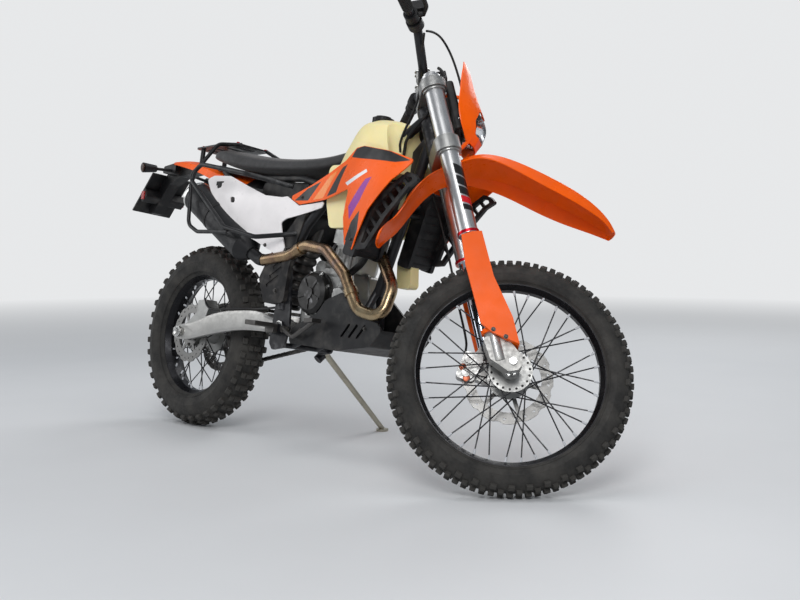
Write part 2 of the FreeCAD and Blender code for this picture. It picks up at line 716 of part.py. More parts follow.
def front_caliper():
    """Two-piston caliper behind the left leg, over the disc."""
    at = head(FORK_LEAD - 66, 62, FRONT_DISC_Y)
    body = plate([(at.x - 34, at.z - 42), (at.x + 20, at.z - 48), (at.x + 36, at.z + 20), (at.x + 26, at.z + 46),
                  (at.x - 24, at.z + 40)], FRONT_DISC_Y - 14, FRONT_DISC_Y + 20, 12)
    slot = revolved([(0, FRONT_DISC_Y - 6), (FRONT_DISC_R + 6, FRONT_DISC_Y - 6), (FRONT_DISC_R + 6, FRONT_DISC_Y + 6),
                     (0, FRONT_DISC_Y + 6)], FRONT_AXLE)
    arm = plate([(at.x + 10, at.z - 30), (at.x + 60, at.z - 34), (at.x + 60, at.z + 30), (at.x + 10, at.z + 34)],
                FRONT_DISC_Y + 8, FORK_HALF_SPACING - 12, 6)
    pistons = [cross_rod(at.x - 6, at.z + up, FRONT_DISC_Y - 18, FRONT_DISC_Y - 10, 13) for up in (-24, 18)]
    pistons += [cross_rod(at.x - 6, at.z + up, FRONT_DISC_Y + 18, FRONT_DISC_Y + 24, 13) for up in (-24, 18)]
    return fuse([body.cut(slot), arm.cut(slot)] + pistons).cut(fork_sliders())


# Frame

def steering_space():
    """Room that the fork legs and clamps sweep between the steering stops."""
    swept = []
    reach_in = FORK_HALF_SPACING - FORK_TUBE_R - CLAMP_WALL - CLEAR
    reach_out = hypot(FORK_HALF_SPACING, FORK_LEAD) + FORK_TUBE_R + CLAMP_WALL + CLEAR
    low, high = LOWER_CLAMP_AT - LOWER_CLAMP_T / 2 - CLEAR, FORK_TOP + 90
    for sign in (-1, 1):
        radial = (HEAD_LEAD * FORK_LEAD + Y_AXIS * (sign * FORK_HALF_SPACING)).normalize()
        points = [HEAD_BASE + HEAD_DIR * up + radial * r for r, up in
                  ((reach_in, low), (reach_out, low), (reach_out, high), (reach_in, high))]
        face = Part.Face(closed_wire(points))
        face.rotate(HEAD_BASE, HEAD_DIR, -STEER_LOCK)
        swept.append(face.revolve(HEAD_BASE, HEAD_DIR, 2 * STEER_LOCK))
        for turn in (-STEER_LOCK, STEER_LOCK):
            leg = rod(head(FORK_LEAD, low, sign * FORK_HALF_SPACING), head(FORK_LEAD, high, sign * FORK_HALF_SPACING),
                      FORK_TUBE_R + CLAMP_WALL + CLEAR)
            leg.rotate(HEAD_BASE, HEAD_DIR, turn)
            swept.append(leg)
    return fuse(swept)


def head_tube_ends():
    return (LOWER_CLAMP_AT + LOWER_CLAMP_T / 2 + HEAD_TUBE_GAP, UPPER_CLAMP_AT - UPPER_CLAMP_T / 2 - HEAD_TUBE_GAP)


def frame():
    low, high = head_tube_ends()
    tube = rod(head(0, low), head(0, high), HEAD_TUBE_R)
    spars = []
    cradle = []
    for sign in (-1, 1):
        spars.append(pipe([head(-12, high - 34, sign * 12), vec(925, sign * 62, 968), vec(770, sign * 94, 868),
                           vec(655, sign * 104, 742), vec(578, sign * 104, 600), vec(580, sign * 104, 460)], SPAR_R, 90))
        cradle.append(pipe([vec(930, 0, 560), vec(912, sign * 48, 440), vec(862, sign * 56, 371),
                            vec(650, sign * 54, 366), vec(598, sign * 54, 345)], CRADLE_R, 60))
    down = pipe([head(-15, low + 67), vec(985, 0, 720), vec(930, 0, 540)], DOWN_TUBE_R, 120)
    gusset = plate([(1075, 1060), (1092, 994), (1020, 892), (985, 900), (1000, 985)], -7, 7, 8)
    plates = []
    outline = [(556, 610), (604, 610), (628, 470), (636, 400), (622, 334), (560, 322), (540, 345), (548, 470)]
    for sign in (-1, 1):
        plates.append(plate(outline, sign * PLATE_IN, sign * (PLATE_IN + PLATE_T), 14))
    cross = [cross_rod(690, 800, -98, 98, 12), cross_rod(575, 520, -103, 103, 12), cross_rod(885, 945, -75, 75, 11)]
    mounts = [cross_rod(905, 452, -52, 52, 11), cross_rod(700, 372, -56, 56, 10),
              cross_rod(600, 342, -PLATE_IN - 2, PLATE_IN + 2, 9)]
    bolt = cross_rod(PIVOT_X, PIVOT_Z, -PLATE_IN - PLATE_T - 7, PLATE_IN + PLATE_T + 7, PIVOT_BOLT_R)
    caps = [cross_rod(PIVOT_X, PIVOT_Z, sign * (PLATE_IN + PLATE_T), sign * (PLATE_IN + PLATE_T + 8), 17)
            for sign in (-1, 1)]
    peg_lugs = [plate([(560, 412), (604, 412), (600, 378), (566, 374)], sign * (PLATE_IN + PLATE_T),
                      sign * (PLATE_IN + PLATE_T + 24), 6) for sign in (-1, 1)]
    whole = fuse([tube, down, gusset, bolt] + spars + cradle + plates + cross + mounts + caps + peg_lugs)
    stem_bore = rod(head(0, low - 5), head(0, high + 5), STEM_R + BEARING_GAP)
    return whole.cut(stem_bore)


def subframe():
    """Seat rails, lower stays and the air box between them."""
    rails = []
    for sign in (-1, 1):
        rails.append(pipe([vec(742, sign * 100, 872), vec(600, sign * 100, 905), vec(380, sign * 92, 915),
                           vec(60, sign * 78, 968)], SUBFRAME_R, 80))
        rails.append(pipe([vec(570, sign * 92, 630), vec(430, sign * 92, 742), vec(180, sign * 80, 905),
                           vec(100, sign * 79, 952)], SUBFRAME_R, 80))
    cross = [cross_rod(60, 968, -78, 78, SUBFRAME_R), cross_rod(400, 914, -92, 92, SUBFRAME_R)]
    box = plate([(360, 905), (615, 895), (640, 780), (560, 690), (500, 690), (360, 830)], -86, 86, 20)
    return fuse(rails + cross + [box])


# Engine

def tilted(dx, y, up):
    """Point in the frame of the leaning cylinder."""
    return vec(CYLINDER_FOOT_X + dx * cos(CYLINDER_TILT) + up * sin(CYLINDER_TILT), y,
               CYLINDER_FOOT_Z - dx * sin(CYLINDER_TILT) + up * cos(CYLINDER_TILT))


def tilted_block(half_x, half_y, low, high, radius):
    points = [tilted(dx, y, low) for dx, y in ((-half_x, -half_y), (half_x, -half_y), (half_x, half_y),
                                               (-half_x, half_y))]
    return Part.Face(rounded_wire(points, radius)).extrude(tilted(0, 0, high) - tilted(0, 0, low))


def cam_cover():
    """Cover over the cams, with a round bulge at each shaft."""
    base = BARREL_H + HEAD_H
    cover = tilted_block(HEAD_HALF_X - 8, HEAD_HALF_Y - 8, base, base + 0.55 * COVER_H, 18)
    shafts = [rod(tilted(dx, -HEAD_HALF_Y + 14, base + 0.42 * COVER_H), tilted(dx, HEAD_HALF_Y - 14, base + 0.42 * COVER_H),
                  0.55 * COVER_H) for dx in (-34, 34)]
    well = rod(tilted(0, 0, base), tilted(0, 0, base + COVER_H), 17)
    return fuse([cover, well] + shafts)


def engine_cases():
    """Crankcase and gearbox with a parting flange, screw bosses, pump housing and starter."""
    outline = [(632, 440), (655, 392), (700, 388), (862, 388), (900, 430), (896, 520), (872, 598), (738, 612),
               (668, 588), (636, 520)]
    block = plate(outline, -CASE_HALF_WIDTH + 14, CASE_HALF_WIDTH - 14, 22)
    waist = plate([(650, 450), (668, 404), (850, 400), (884, 436), (880, 510), (858, 580), (690, 586), (652, 520)],
                  -CASE_HALF_WIDTH, CASE_HALF_WIDTH, 24)
    flange = plate([(626, 440), (650, 385), (700, 381), (866, 381), (907, 428), (903, 524), (878, 604), (736, 618),
                    (662, 594), (629, 522)], -4, 4, 22)
    pump = revolved([(0, 0), (34, 0), (34, 12), (26, 20), (0, 20)], (846, CASE_HALF_WIDTH, 520))
    pump_boss = mirrored(fuse([pump, rod(vec(846, CASE_HALF_WIDTH + 8, 548), vec(868, CASE_HALF_WIDTH + 8, 580), 11)]))
    filter_lid = mirrored(revolved([(0, 0), (24, 0), (24, 9), (19, 13), (0, 13)], (798, CASE_HALF_WIDTH - 1, 426)))
    bosses = [cross_rod(x, z, -CASE_HALF_WIDTH - 3, CASE_HALF_WIDTH + 3, 8)
              for x, z in ((676, 412), (850, 412), (872, 452), (862, 566))]
    output = cross_rod(SPROCKET_X, SPROCKET_Z, 0, CHAIN_Y + 12, 12)
    sprocket = cross_rod(SPROCKET_X, SPROCKET_Z, CHAIN_Y - 3, CHAIN_Y + 3,
                         FRONT_SPROCKET_PITCH_R - CHAIN_ROLLER_R - BEARING_GAP)
    starter = fuse([cross_rod(700, 612, -60, 50, 24), cross_rod(700, 612, 50, 62, 17)])
    chain_room = Part.Face(chain_outline(CHAIN_HALF_HEIGHT + CLEAR)).extrude(vec(0, 60, 0))
    chain_room.translate(vec(0, CHAIN_Y - CHAIN_HALF_WIDTH - CLEAR, 0))
    body = fuse([block, waist, flange, pump_boss, filter_lid, starter] + bosses).cut(chain_room)
    return fuse([body, output, sprocket])


def clutch_cover():
    """Round cover on the right, with a screwed flange and raised ribs on its face."""
    side = CASE_HALF_WIDTH
    dome_r = CLUTCH_R - 8
    shoulder, face = 0.66 * CLUTCH_T, CLUTCH_T - 5
    dome = revolved([(0, 0), (CLUTCH_R, 0), (CLUTCH_R, COVER_FLANGE_T), (dome_r, COVER_FLANGE_T), (dome_r, shoulder),
                     (dome_r - 12, face), (20, face), (20, CLUTCH_T), (0, CLUTCH_T)], (CLUTCH_X, side, CLUTCH_Z))
    bosses = [cross_rod(x, z, side, side + COVER_FLANGE_T + 5, 7)
              for x, z in ring_of(COVER_SCREWS, CLUTCH_R - 6, CLUTCH_X, CLUTCH_Z, pi / COVER_SCREWS)]
    ribs = []
    for i in range(COVER_RIBS):
        rib = Part.makeBox(dome_r - 14, CLUTCH_T - 2, 9, vec(0, side, -4.5))
        rib.rotate(vec(0, 0, 0), Y_AXIS, 360.0 / COVER_RIBS * i + 20)
        rib.translate(vec(CLUTCH_X, 0, CLUTCH_Z))
        ribs.append(rib)
    return mirrored(fuse([dome] + bosses + ribs))


def generator_cover():
    """Round cover on the left, with a screwed flange and an inspection plug."""
    side = CASE_HALF_WIDTH
    dome_r = GENERATOR_R - 8
    dome = revolved([(0, 0), (GENERATOR_R, 0), (GENERATOR_R, COVER_FLANGE_T), (dome_r, COVER_FLANGE_T),
                     (dome_r - 3, 0.6 * GENERATOR_T), (dome_r - 16, GENERATOR_T - 3), (22, GENERATOR_T - 3),
                     (22, GENERATOR_T), (0, GENERATOR_T)], (GENERATOR_X, side, GENERATOR_Z))
    bosses = [cross_rod(x, z, side, side + COVER_FLANGE_T + 5, 7)
              for x, z in ring_of(COVER_SCREWS, GENERATOR_R - 6, GENERATOR_X, GENERATOR_Z)]
    return fuse([dome] + bosses)


def cylinder():
    """Barrel, head, cam cover, exhaust port with its flange, inlet with the throttle body."""
    barrel = tilted_block(BARREL_HALF, BARREL_HALF, 0, BARREL_H, 22)
    flanges = [tilted_block(BARREL_HALF + 7, BARREL_HALF + 5, low, low + 9, 24) for low in (0, BARREL_H - 5)]
    jacket = [rod(tilted(dx, sign * BARREL_HALF, 20), tilted(dx, sign * BARREL_HALF, BARREL_H - 14), 9)
              for dx in (-34, 0, 34) for sign in (-1, 1)]
    top = tilted_block(HEAD_HALF_X, HEAD_HALF_Y, BARREL_H, BARREL_H + HEAD_H, 16)
    port = rod(tilted(HEAD_HALF_X - 20, -18, BARREL_H + 38), tilted(HEAD_HALF_X + 22, -22, BARREL_H + 32), 26)
    along = (tilted(HEAD_HALF_X + 22, -22, BARREL_H + 32) - tilted(HEAD_HALF_X - 20, -18, BARREL_H + 38)).normalize()
    flange_at = tilted(HEAD_HALF_X + 6, -20.5, BARREL_H + 34)
    port_flange = rod(flange_at, flange_at + along * 7, 33)
    inlet = rod(tilted(-HEAD_HALF_X + 20, 0, BARREL_H + 60), tilted(-HEAD_HALF_X - 60, 0, BARREL_H + 84), 27)
    band = rod(tilted(-HEAD_HALF_X - 8, 0, BARREL_H + 68.4), tilted(-HEAD_HALF_X - 20, 0, BARREL_H + 72), 30)
    plug = rod(tilted(20, -HEAD_HALF_Y + 4, BARREL_H + 22), tilted(26, -HEAD_HALF_Y - 16, BARREL_H + 18), 15)
    return fuse([barrel, top, cam_cover(), port, port_flange, inlet, band, plug] + flanges + jacket)


def engine_covers():
    return Part.makeCompound([clutch_cover(), generator_cover()])


def header_line():
    port = tilted(HEAD_HALF_X + 22, -22, BARREL_H + 32)
    return [port, vec(985, -46, 640), vec(1062, -66, 560), vec(1066, -100, 462), vec(980, -124, 478),
            vec(905, -128, 585), vec(800, -128, 662), vec(690, -124, 676), vec(600, -120, 640), vec(470, -124, 622)]


def exhaust_header():
    line = header_line()
    main = pipe(line, HEADER_R, 62)
    collar = rod(line[0], line[0] + (line[1] - line[0]).normalize() * 14, HEADER_R + 8)
    joints = []
    for i, share in ((4, 0.5), (7, 0.35)):
        here = line[i] + (line[i + 1] - line[i]) * share
        along = (line[i + 1] - line[i]).normalize()
        joints.append(rod(here - along * 11, here + along * 11, HEADER_R + 3.5))
    return fuse([main, collar] + joints)


def muffler():
    start = header_line()[-1]
    rear = vec(8, -140, 862)
    neck = vec(395, -132, 652)
    along = (rear - neck).normalize()
    body = rod(neck + along * 26, rear - along * 26, MUFFLER_R)
    front = cone(neck - along * 18, neck + along * 26, HEADER_R + 6, MUFFLER_R)
    back = cone(rear - along * 26, rear + along * 6, MUFFLER_R, MUFFLER_R - 20)
    outlet = rod(rear, rear + along * 26, 20)
    link = pipe([start, start + vec(-22, -2, 2), neck - along * 10], HEADER_R + 2, 30)
    return fuse([body, front, back, outlet, link])


def radiators():
    """Cores with side tanks and fins, a louvred guard ahead and a stay to the frame."""
    core = plate([(938, 650), (982, 640), (1048, 876), (1004, 890)], 70, 168, 8)
    tanks = [plate([(934, 646), (986, 634), (1054, 880), (1000, 896)], y, y + 14, 10) for y in (60, GUARD_IN - 2)]
    stay = cross_rod(1008, 800, 2, 66, 8)
    fins = []
    for i in range(RADIATOR_FINS):
        share = (i + 0.5) / RADIATOR_FINS
        x, z = 938 + 66 * share, 652 + 234 * share
        fins.append(plate([(x - 5, z - 2), (x + 48, z - 12), (x + 48, z - 9), (x - 5, z + 1)], 74, GUARD_IN))
    return both_sides(fuse([core, stay, radiator_guard()] + tanks + fins))


# Bodywork

def section(x, rows):
    """Closed cross section at x from its right half, given as (y, z) from the top middle down."""
    left = [vec(x, y, z) for y, z in rows]
    right = [vec(x, -y, z) for y, z in reversed(rows)]
    return left + right


def fuel_tank():
    """Blow moulded tank: the part over the engine and a lobe down each side."""
    stations = [
        section(766, [(30, 1000), (62, 990), (84, 962), (96, 936), (40, 926)]),
        section(800, [(34, 1062), (70, 1046), (96, 994), (110, 938), (40, 926)]),
        section(835, [(38, 1092), (78, 1074), (108, 1008), (122, 940), (40, 926)]),
        section(900, [(42, 1100), (86, 1080), (122, 1010), (136, 932), (40, 924)]),
        section(960, [(38, 1092), (78, 1070), (118, 1000), (138, 924), (40, 922)]),
        section(1012, [(26, 1062), (54, 1042), (96, 980), (126, 914), (40, 920)]),
    ]
    upper = smooth_loft(stations, 26)
    outline = [(752, 940), (1000, 940), (996, 880), (936, 804), (908, 738), (790, 734), (762, 812)]
    lobe = plate(outline, 84, 122, 22)
    return fuse([upper, lobe, mirrored(lobe)])


def fuel_cap():
    """Threaded cap with finger grooves round its skirt and a breather on top."""
    base = vec(846, 0, 1090)
    lean = vec(0.03, 0, 1).normalize()
    skirt = rod(base, base + lean * 28, 36)
    side = X_AXIS
    grips = []
    for i in range(CAP_GRIPS):
        turn = FreeCAD.Rotation(lean, 360.0 / CAP_GRIPS * i)
        at = base + turn.multVec(side) * 38
        grips.append(rod(at + lean * 8, at + lean * 40, 5))
    crown = rod(base + lean * 28, base + lean * 34, 25)
    return fuse([cut(skirt, grips), crown])


def coolant_bottle():
    """Overflow bottle under the left radiator, with its neck up to the radiator's foot."""
    outline = [(915, 668), (978, 666), (992, 574), (928, 571)]
    body = plate(outline, 78, 116, 14)
    neck = rod(vec(958, 97, 655), vec(962, 97, 690), 12)
    return fuse([body, neck])


def seat():
    stations = [
        section(20, [(40, 1050), (84, 1040), (96, 1000), (40, 992)]),
        section(140, [(46, 1036), (94, 1024), (112, 968), (40, 960)]),
        section(300, [(52, 1008), (102, 994), (124, 942), (40, 934)]),
        section(460, [(54, 990), (106, 974), (128, 932), (40, 926)]),
        section(600, [(52, 985), (100, 970), (126, 926), (40, 922)]),
        section(720, [(42, 998), (82, 984), (104, 936), (40, 926)]),
        section(800, [(30, 1018), (62, 1006), (84, 960), (40, 930)]),
    ]
    return smooth_loft(stations, 16)


def panel(outline, levels, wall, radius=8.0):
    """Moulded side panel: a curved skin trimmed to its side view outline."""
    rows = [[vec(x, y, z) for x, y in line] for z, line in levels]
    skin = moulded(rows, vec(0, -wall, 0))
    reach = max(y for _, line in levels for _, y in line) + 10
    return skin.common(plate(outline, 20, reach, radius))


def shroud():
    """Side shroud of the tank and radiator, with a pressed rib along its leading edge."""
    outline = [(568, 838), (629, 812), (783, 824), (926, 848), (905, 760), (922, 674), (978, 655), (996, 696),
               (1043, 775), (1131, 865), (1216, 922), (1097, 957), (954, 985), (912, 983), (870, 944), (791, 912),
               (672, 870)]
    levels = [
        (620, [(540, 120), (660, 122), (780, 130), (900, 152), (990, 178), (1100, 186), (1240, 200)]),
        (700, [(540, 120), (660, 126), (780, 136), (900, 160), (990, 184), (1100, 194), (1240, 208)]),
        (780, [(540, 122), (660, 128), (780, 141), (900, 168), (990, 189), (1100, 199), (1240, 214)]),
        (860, [(540, 124), (660, 131), (780, 145), (900, 172), (990, 191), (1100, 198), (1240, 212)]),
        (930, [(540, 120), (660, 128), (780, 141), (900, 164), (990, 182), (1100, 188), (1240, 206)]),
        (1000, [(540, 112), (660, 119), (780, 128), (900, 146), (990, 162), (1100, 170), (1240, 188)]),
    ]
    return panel(outline, levels, SKIN_T)


def radiator_guard():
    """Louvred guard ahead of one radiator: a frame with slanted slats behind the shroud's edge."""
    outline = [(990, 658), (1036, 662), (1108, 760), (1190, 846), (1228, 866), (1206, 884), (1176, 892), (1120, 858),
               (1030, 790)]
    rail = plate(outline, GUARD_IN, GUARD_IN + GUARD_T, 6)
    window = plate([(1014, 678), (1030, 680), (1098, 772), (1180, 854), (1204, 867), (1196, 875), (1176, 878),
                    (1124, 842), (1048, 780)], GUARD_IN - 1, GUARD_IN + GUARD_T + 1, 4)
    slats = []
    for i in range(GUARD_SLATS):
        share = (i + 1) / (GUARD_SLATS + 1)
        x, z = 1022 + share * 168, 672 + share * 204
        slats.append(plate([(x - 26, z + 30), (x + 28, z - 18), (x + 34, z - 10), (x - 20, z + 38)], GUARD_IN + 2,
                           GUARD_IN + GUARD_T - 2))
    return fuse([rail.cut(window)] + [slat.common(plate(outline, 100, 200, 6)) for slat in slats])


def side_panel():
    """Number panel beside the muffler, with two vent slots and its mounting bosses."""
    outline = [(70, 915), (112, 927), (226, 920), (384, 868), (456, 844), (542, 837), (566, 840), (628, 808),
               (760, 820), (748, 800), (575, 764), (552, 750), (563, 713), (582, 664), (564, 633), (549, 639),
               (436, 685), (280, 740), (120, 868)]
    levels = [
        (600, [(40, 152), (170, 154), (300, 154), (480, 138), (600, 126), (780, 128)]),
        (700, [(40, 153), (170, 158), (300, 157), (480, 141), (600, 129), (780, 131)]),
        (800, [(40, 150), (170, 157), (300, 158), (480, 144), (600, 131), (780, 134)]),
        (880, [(40, 138), (170, 145), (300, 148), (480, 139), (600, 130), (780, 133)]),
        (950, [(40, 122), (170, 128), (300, 131), (480, 129), (600, 126), (780, 130)]),
    ]
    whole = panel(outline, levels, SKIN_T)
    slots = [plate([(150, 896), (182, 898), (190, 878), (160, 874)], 80, 200, 9),
             plate([(262, 842), (292, 838), (300, 818), (272, 820)], 80, 200, 9)]
    bosses = [cross_rod(300, 858, 96, 153, 8), cross_rod(705, 805, 104, 128, 8)]
    return fuse([cut(whole, slots)] + bosses)


def rear_fender():
    rows = []
    for x, z, half, drop in ((385, 907, 90, 67), (260, 930, 94, 70), (80, 968, 92, 58), (-60, 1000, 86, 44),
                             (-200, 1018, 76, 30), (-300, 1022, 56, 16), (-352, 1020, 30, 8)):
        rows.append([vec(x, share * half, z - fall * drop) for share, fall in
                     ((-1, 1.0), (-0.9, 0.5), (-0.5, 0.1), (0, 0.0), (0.5, 0.1), (0.9, 0.5), (1, 1.0))])
    return ribbon(rows, [vec(0, 0, -4)] * len(rows))


def plate_holder():
    """Plastic bracket with the tail lamp, number plate, side reflector and rear turn signals."""
    arm = plate([(-170, 1006), (-330, 1010), (-392, 976), (-512, 872), (-500, 812), (-470, 812), (-372, 930),
                 (-300, 960), (-180, 975)], -24, 24, 10)
    lamp = plate([(-300, 1012), (-386, 1000), (-392, 972), (-300, 964)], -50, 50, 8)
    board = loft([[vec(-398, -88, 965), vec(-398, 88, 965), vec(-404, 88, 968), vec(-404, -88, 968)],
                  [vec(-520, -88, 812), vec(-520, 88, 812), vec(-526, 88, 815), vec(-526, -88, 815)]])
    parts = [arm, lamp, board]
    for sign in (-1, 1):
        parts.append(rod(vec(-330, sign * 20, 984), vec(-330, sign * 128, 972), 6))
        parts.append(cone(vec(-330, sign * 120, 973), vec(-330, sign * 176, 966), 14, 20))
        parts.append(plate([(-470, 880), (-440, 905), (-420, 870), (-450, 845)], sign * 20, sign * 92, 6))
    return fuse(parts)


def rack_hoops(sign):
    """Loop that guards one side of the tail, its rear drop bar and its stay to the top plate."""
    y = sign * RACK_Y
    loop = pipe([vec(560, sign * 110, 878), vec(430, y, 905), vec(144, y, 950), vec(74, y, 905),
                 vec(339, y, 720), vec(505, sign * 200, 690), vec(596, sign * 150, 706), vec(628, sign * 119, 716)],
                RACK_TUBE_R, 46)
    drop = pipe([vec(112, y, 926), vec(92, y, 878), vec(112, y, 730), vec(176, y, 704), vec(362, y, 704)],
                RACK_TUBE_R - 1, 40)
    stay = pipe([vec(150, sign * 58, 1058), vec(135, sign * 150, 1040), vec(125, y, 936)], RACK_TUBE_R - 1, 40)
    return fuse([loop, drop, stay])


def side_racks():
    """Tube hoops on each side joined by the top rack plate."""
    top = plate_level([(-150, -62), (-150, 62), (40, 84), (150, 74), (150, -74), (40, -84)], 1056, 1062, 20)
    holes = [plate_level([(x, -40), (x, 40), (x + 28, 40), (x + 28, -40)], 1040, 1080, 8) for x in (-110, -50, 20, 80)]
    posts = [rod(vec(-110, sign * 52, 1000.5), vec(-110, sign * 52, 1058), 9) for sign in (-1, 1)]
    return fuse([cut(top, holes)] + posts + [rack_hoops(-1), rack_hoops(1)])


def plate_level(outline, z0, z1, radius):
    points = [vec(x, y, z0) for x, y in outline]
    return Part.Face(rounded_wire(points, radius)).extrude(vec(0, 0, z1 - z0))


def skid_plate():
    """Dished tray under the engine with sides that rise beside the cases, drained by slots."""
    side_view = [(648, 352), (892, 346), (1040, 370), (1086, 424), (1060, 444), (980, 462), (886, 532),
                 (815, 505), (760, 452), (700, 424), (652, 400)]
    block = cut(plate(side_view, -SKID_HALF, SKID_HALF, 16), [
        cross_rod(GENERATOR_X, GENERATOR_Z, CASE_HALF_WIDTH, 130, GENERATOR_R + 3),
        cross_rod(CLUTCH_X, CLUTCH_Z, -CASE_HALF_WIDTH, -130, CLUTCH_R + 3)])
    inner = SKID_HALF - SKID_WALL
    hollow = plate([(560, 359), (676, 359), (890, 353), (1032, 377), (1120, 464), (900, 700), (560, 600)],
                   -inner, inner, 12)
    drains = [plate_level([(x, -18), (x, 18), (x + 70, 18), (x + 70, -18)], 330, 372, 8) for x in (690, 790)]
    vents = [plate([(x, 392), (x + 10, 390), (x + 44, 432), (x + 34, 436)], -130, 130, 4) for x in (900, 936, 972)]
    return cut(block, [hollow] + drains + vents)


def frame_guards():
    """Textured guards over the frame beside the swingarm pivot."""
    outline = [(672, 800), (622, 771), (562, 705), (500, 640), (456, 560), (500, 478), (552, 474), (606, 484),
               (612, 600), (640, 700)]
    guard = plate(outline, PLATE_IN + PLATE_T, PLATE_IN + PLATE_T + 16, 18)
    relief = [plate([(x, z), (x + 60, z + 34), (x + 66, z + 24), (x + 6, z - 10)], PLATE_IN + PLATE_T + 13,
                    PLATE_IN + PLATE_T + 20, 0) for x, z in ((500, 540), (512, 570), (526, 602), (544, 634))]
    return both_sides(cut(guard, relief))


def foot_controls():
    """Footpegs, the brake pedal on the right and the shift lever on the left."""
    pegs = []
    lug_out = PLATE_IN + PLATE_T + 24
    for sign in (-1, 1):
        pegs.append(fuse([plate([(556, 409), (608, 409), (604, 379), (562, 379)], sign * lug_out, sign * (lug_out + 16), 4),
                          plate([(554, 411), (610, 411), (610, 395), (554, 395)], sign * (lug_out + 16), sign * (lug_out + 96), 4)]))
    pedal = fuse([pipe([vec(628, -124, 395), vec(690, -132, 372), vec(760, -140, 405), vec(800, -142, 428)], 7, 30),
                  plate([(785, 436), (825, 440), (825, 426), (785, 422)], -170, -132, 3),
                  cross_rod(628, 395, -109, -130, 11)])
    shift = fuse([pipe([vec(728, CASE_HALF_WIDTH, 424), vec(728, 124, 424), vec(770, 136, 410), vec(842, 138, 398)], 6, 16),
                  cross_rod(846, 398, 128, 172, 9)])
    return Part.makeCompound(pegs + [pedal, shift])


def swingarm():
    """Cast arm with a leg on each side, a bridge, a pivot boss and chain adjusters."""
    stations = [(-44, 341, 34), (-20, 342, 50), (60, 350, 60), (160, 376, 70), (270, 400, 72), (370, 411, 68),
                (460, 411, 62), (578, 405, 54)]
    front_x, back_x = stations[-1][0], 150.0
    sections = []
    for x, z, height in stations:
        share = min(max((x - back_x) / (front_x - back_x), 0), 1)
        inner = ARM_INNER + (ARM_FRONT_INNER - ARM_INNER) * share
        low, high, edge = z - height / 2, z + height / 2, 0.16 * height
        outer = inner + ARM_T
        sections.append([vec(x, inner, low), vec(x, outer - 5, low), vec(x, outer, low + edge),
                         vec(x, outer, high - edge), vec(x, outer - 5, high), vec(x, inner, high)])
    arm = flowing(sections)
    boss = cross_rod(PIVOT_X, PIVOT_Z, ARM_FRONT_INNER, PLATE_IN - 1, 27)
    outer = ARM_INNER + ARM_T
    slot = plate([(-36, REAR_TYRE_R - 13), (34, REAR_TYRE_R - 13), (34, REAR_TYRE_R + 13), (-36, REAR_TYRE_R + 13)],
                 outer - 4, outer + 4, 12)
    adjuster = plate([(-22, REAR_TYRE_R - 13), (20, REAR_TYRE_R - 13), (20, REAR_TYRE_R + 13),
                      (-22, REAR_TYRE_R + 13)], outer - 5, outer, 4)
    leg = fuse([fuse([arm, boss]).cut(slot), adjuster])
    bridge = plate([(382, 432), (470, 446), (500, 420), (470, 384), (388, 392)], -80, 80, 12)
    whole = fuse([leg, mirrored(leg), bridge])
    holes = [cross_rod(PIVOT_X, PIVOT_Z, -PLATE_IN - 40, PLATE_IN + 40, PIVOT_BOLT_R),
             cross_rod(0, REAR_TYRE_R, -140, 140, REAR_AXLE_R)]
    return cut(whole, holes)


def rear_axle():
    outer = ARM_INNER + ARM_T
    shaft = cross_rod(0, REAR_TYRE_R, -outer - 6, outer + 6, REAR_AXLE_R)
    nuts = [cross_rod(0, REAR_TYRE_R, sign * outer, sign * (outer + 12), REAR_AXLE_R + 8) for sign in (-1, 1)]
    hub_end = REAR_HUB_HALF_WIDTH + 8 + BEARING_GAP
    spacers = [cross_rod(0, REAR_TYRE_R, sign * hub_end, sign * (ARM_INNER - BEARING_GAP), REAR_AXLE_R + 5)
               for sign in (-1, 1)]
    return fuse([shaft] + nuts + spacers)


def rear_caliper():
    body = plate([(62, 408), (118, 400), (132, 440), (110, 472), (58, 466)], -REAR_DISC_Y - 26, -REAR_DISC_Y + 22, 10)
    slot = revolved([(0, -REAR_DISC_Y - 7), (REAR_DISC_R + 8, -REAR_DISC_Y - 7), (REAR_DISC_R + 8, -REAR_DISC_Y + 7),
                     (0, -REAR_DISC_Y + 7)], REAR_AXLE)
    hanger = plate([(-20, 322), (20, 322), (112, 400), (110, 430), (70, 430), (-20, 362)], -REAR_DISC_Y - 26,
                   -REAR_DISC_Y - 18, 8)
    hole = cross_rod(0, REAR_TYRE_R, -140, 0, REAR_AXLE_R + 5)
    return fuse([body.cut(slot), hanger]).cut(hole)


def shock():
    """Damper with its reservoir end, and a coil drawn as waves round the body."""
    foot, top = vec(470, 0, 452), vec(600, 0, 790)
    length = (top - foot).Length
    spring_from, spring_to = 40.0, 250.0
    pitch = (spring_to - spring_from) / SPRING_TURNS
    profile = [(0, 0), (SHOCK_ROD_R, 0), (SHOCK_ROD_R, spring_from - 10), (SPRING_R + 3, spring_from - 10),
               (SPRING_R + 3, spring_from)]
    for i in range(SPRING_TURNS):
        at = spring_from + i * pitch
        profile += [(SPRING_R - 9, at), (SPRING_R - 2, at + 0.28 * pitch), (SPRING_R, at + 0.5 * pitch),
                    (SPRING_R - 2, at + 0.72 * pitch)]
    profile += [(SPRING_R - 9, spring_to), (SPRING_R + 3, spring_to), (SPRING_R + 3, spring_to + 12),
                (SHOCK_BODY_R, spring_to + 12), (SHOCK_BODY_R, length), (0, length)]
    body = Part.Face(closed_wire([vec(r, 0, up) for r, up in profile])).revolve(vec(0, 0, 0), Z_AXIS, 360)
    body.Placement = FreeCAD.Placement(foot, FreeCAD.Rotation(Z_AXIS, top - foot))
    return body


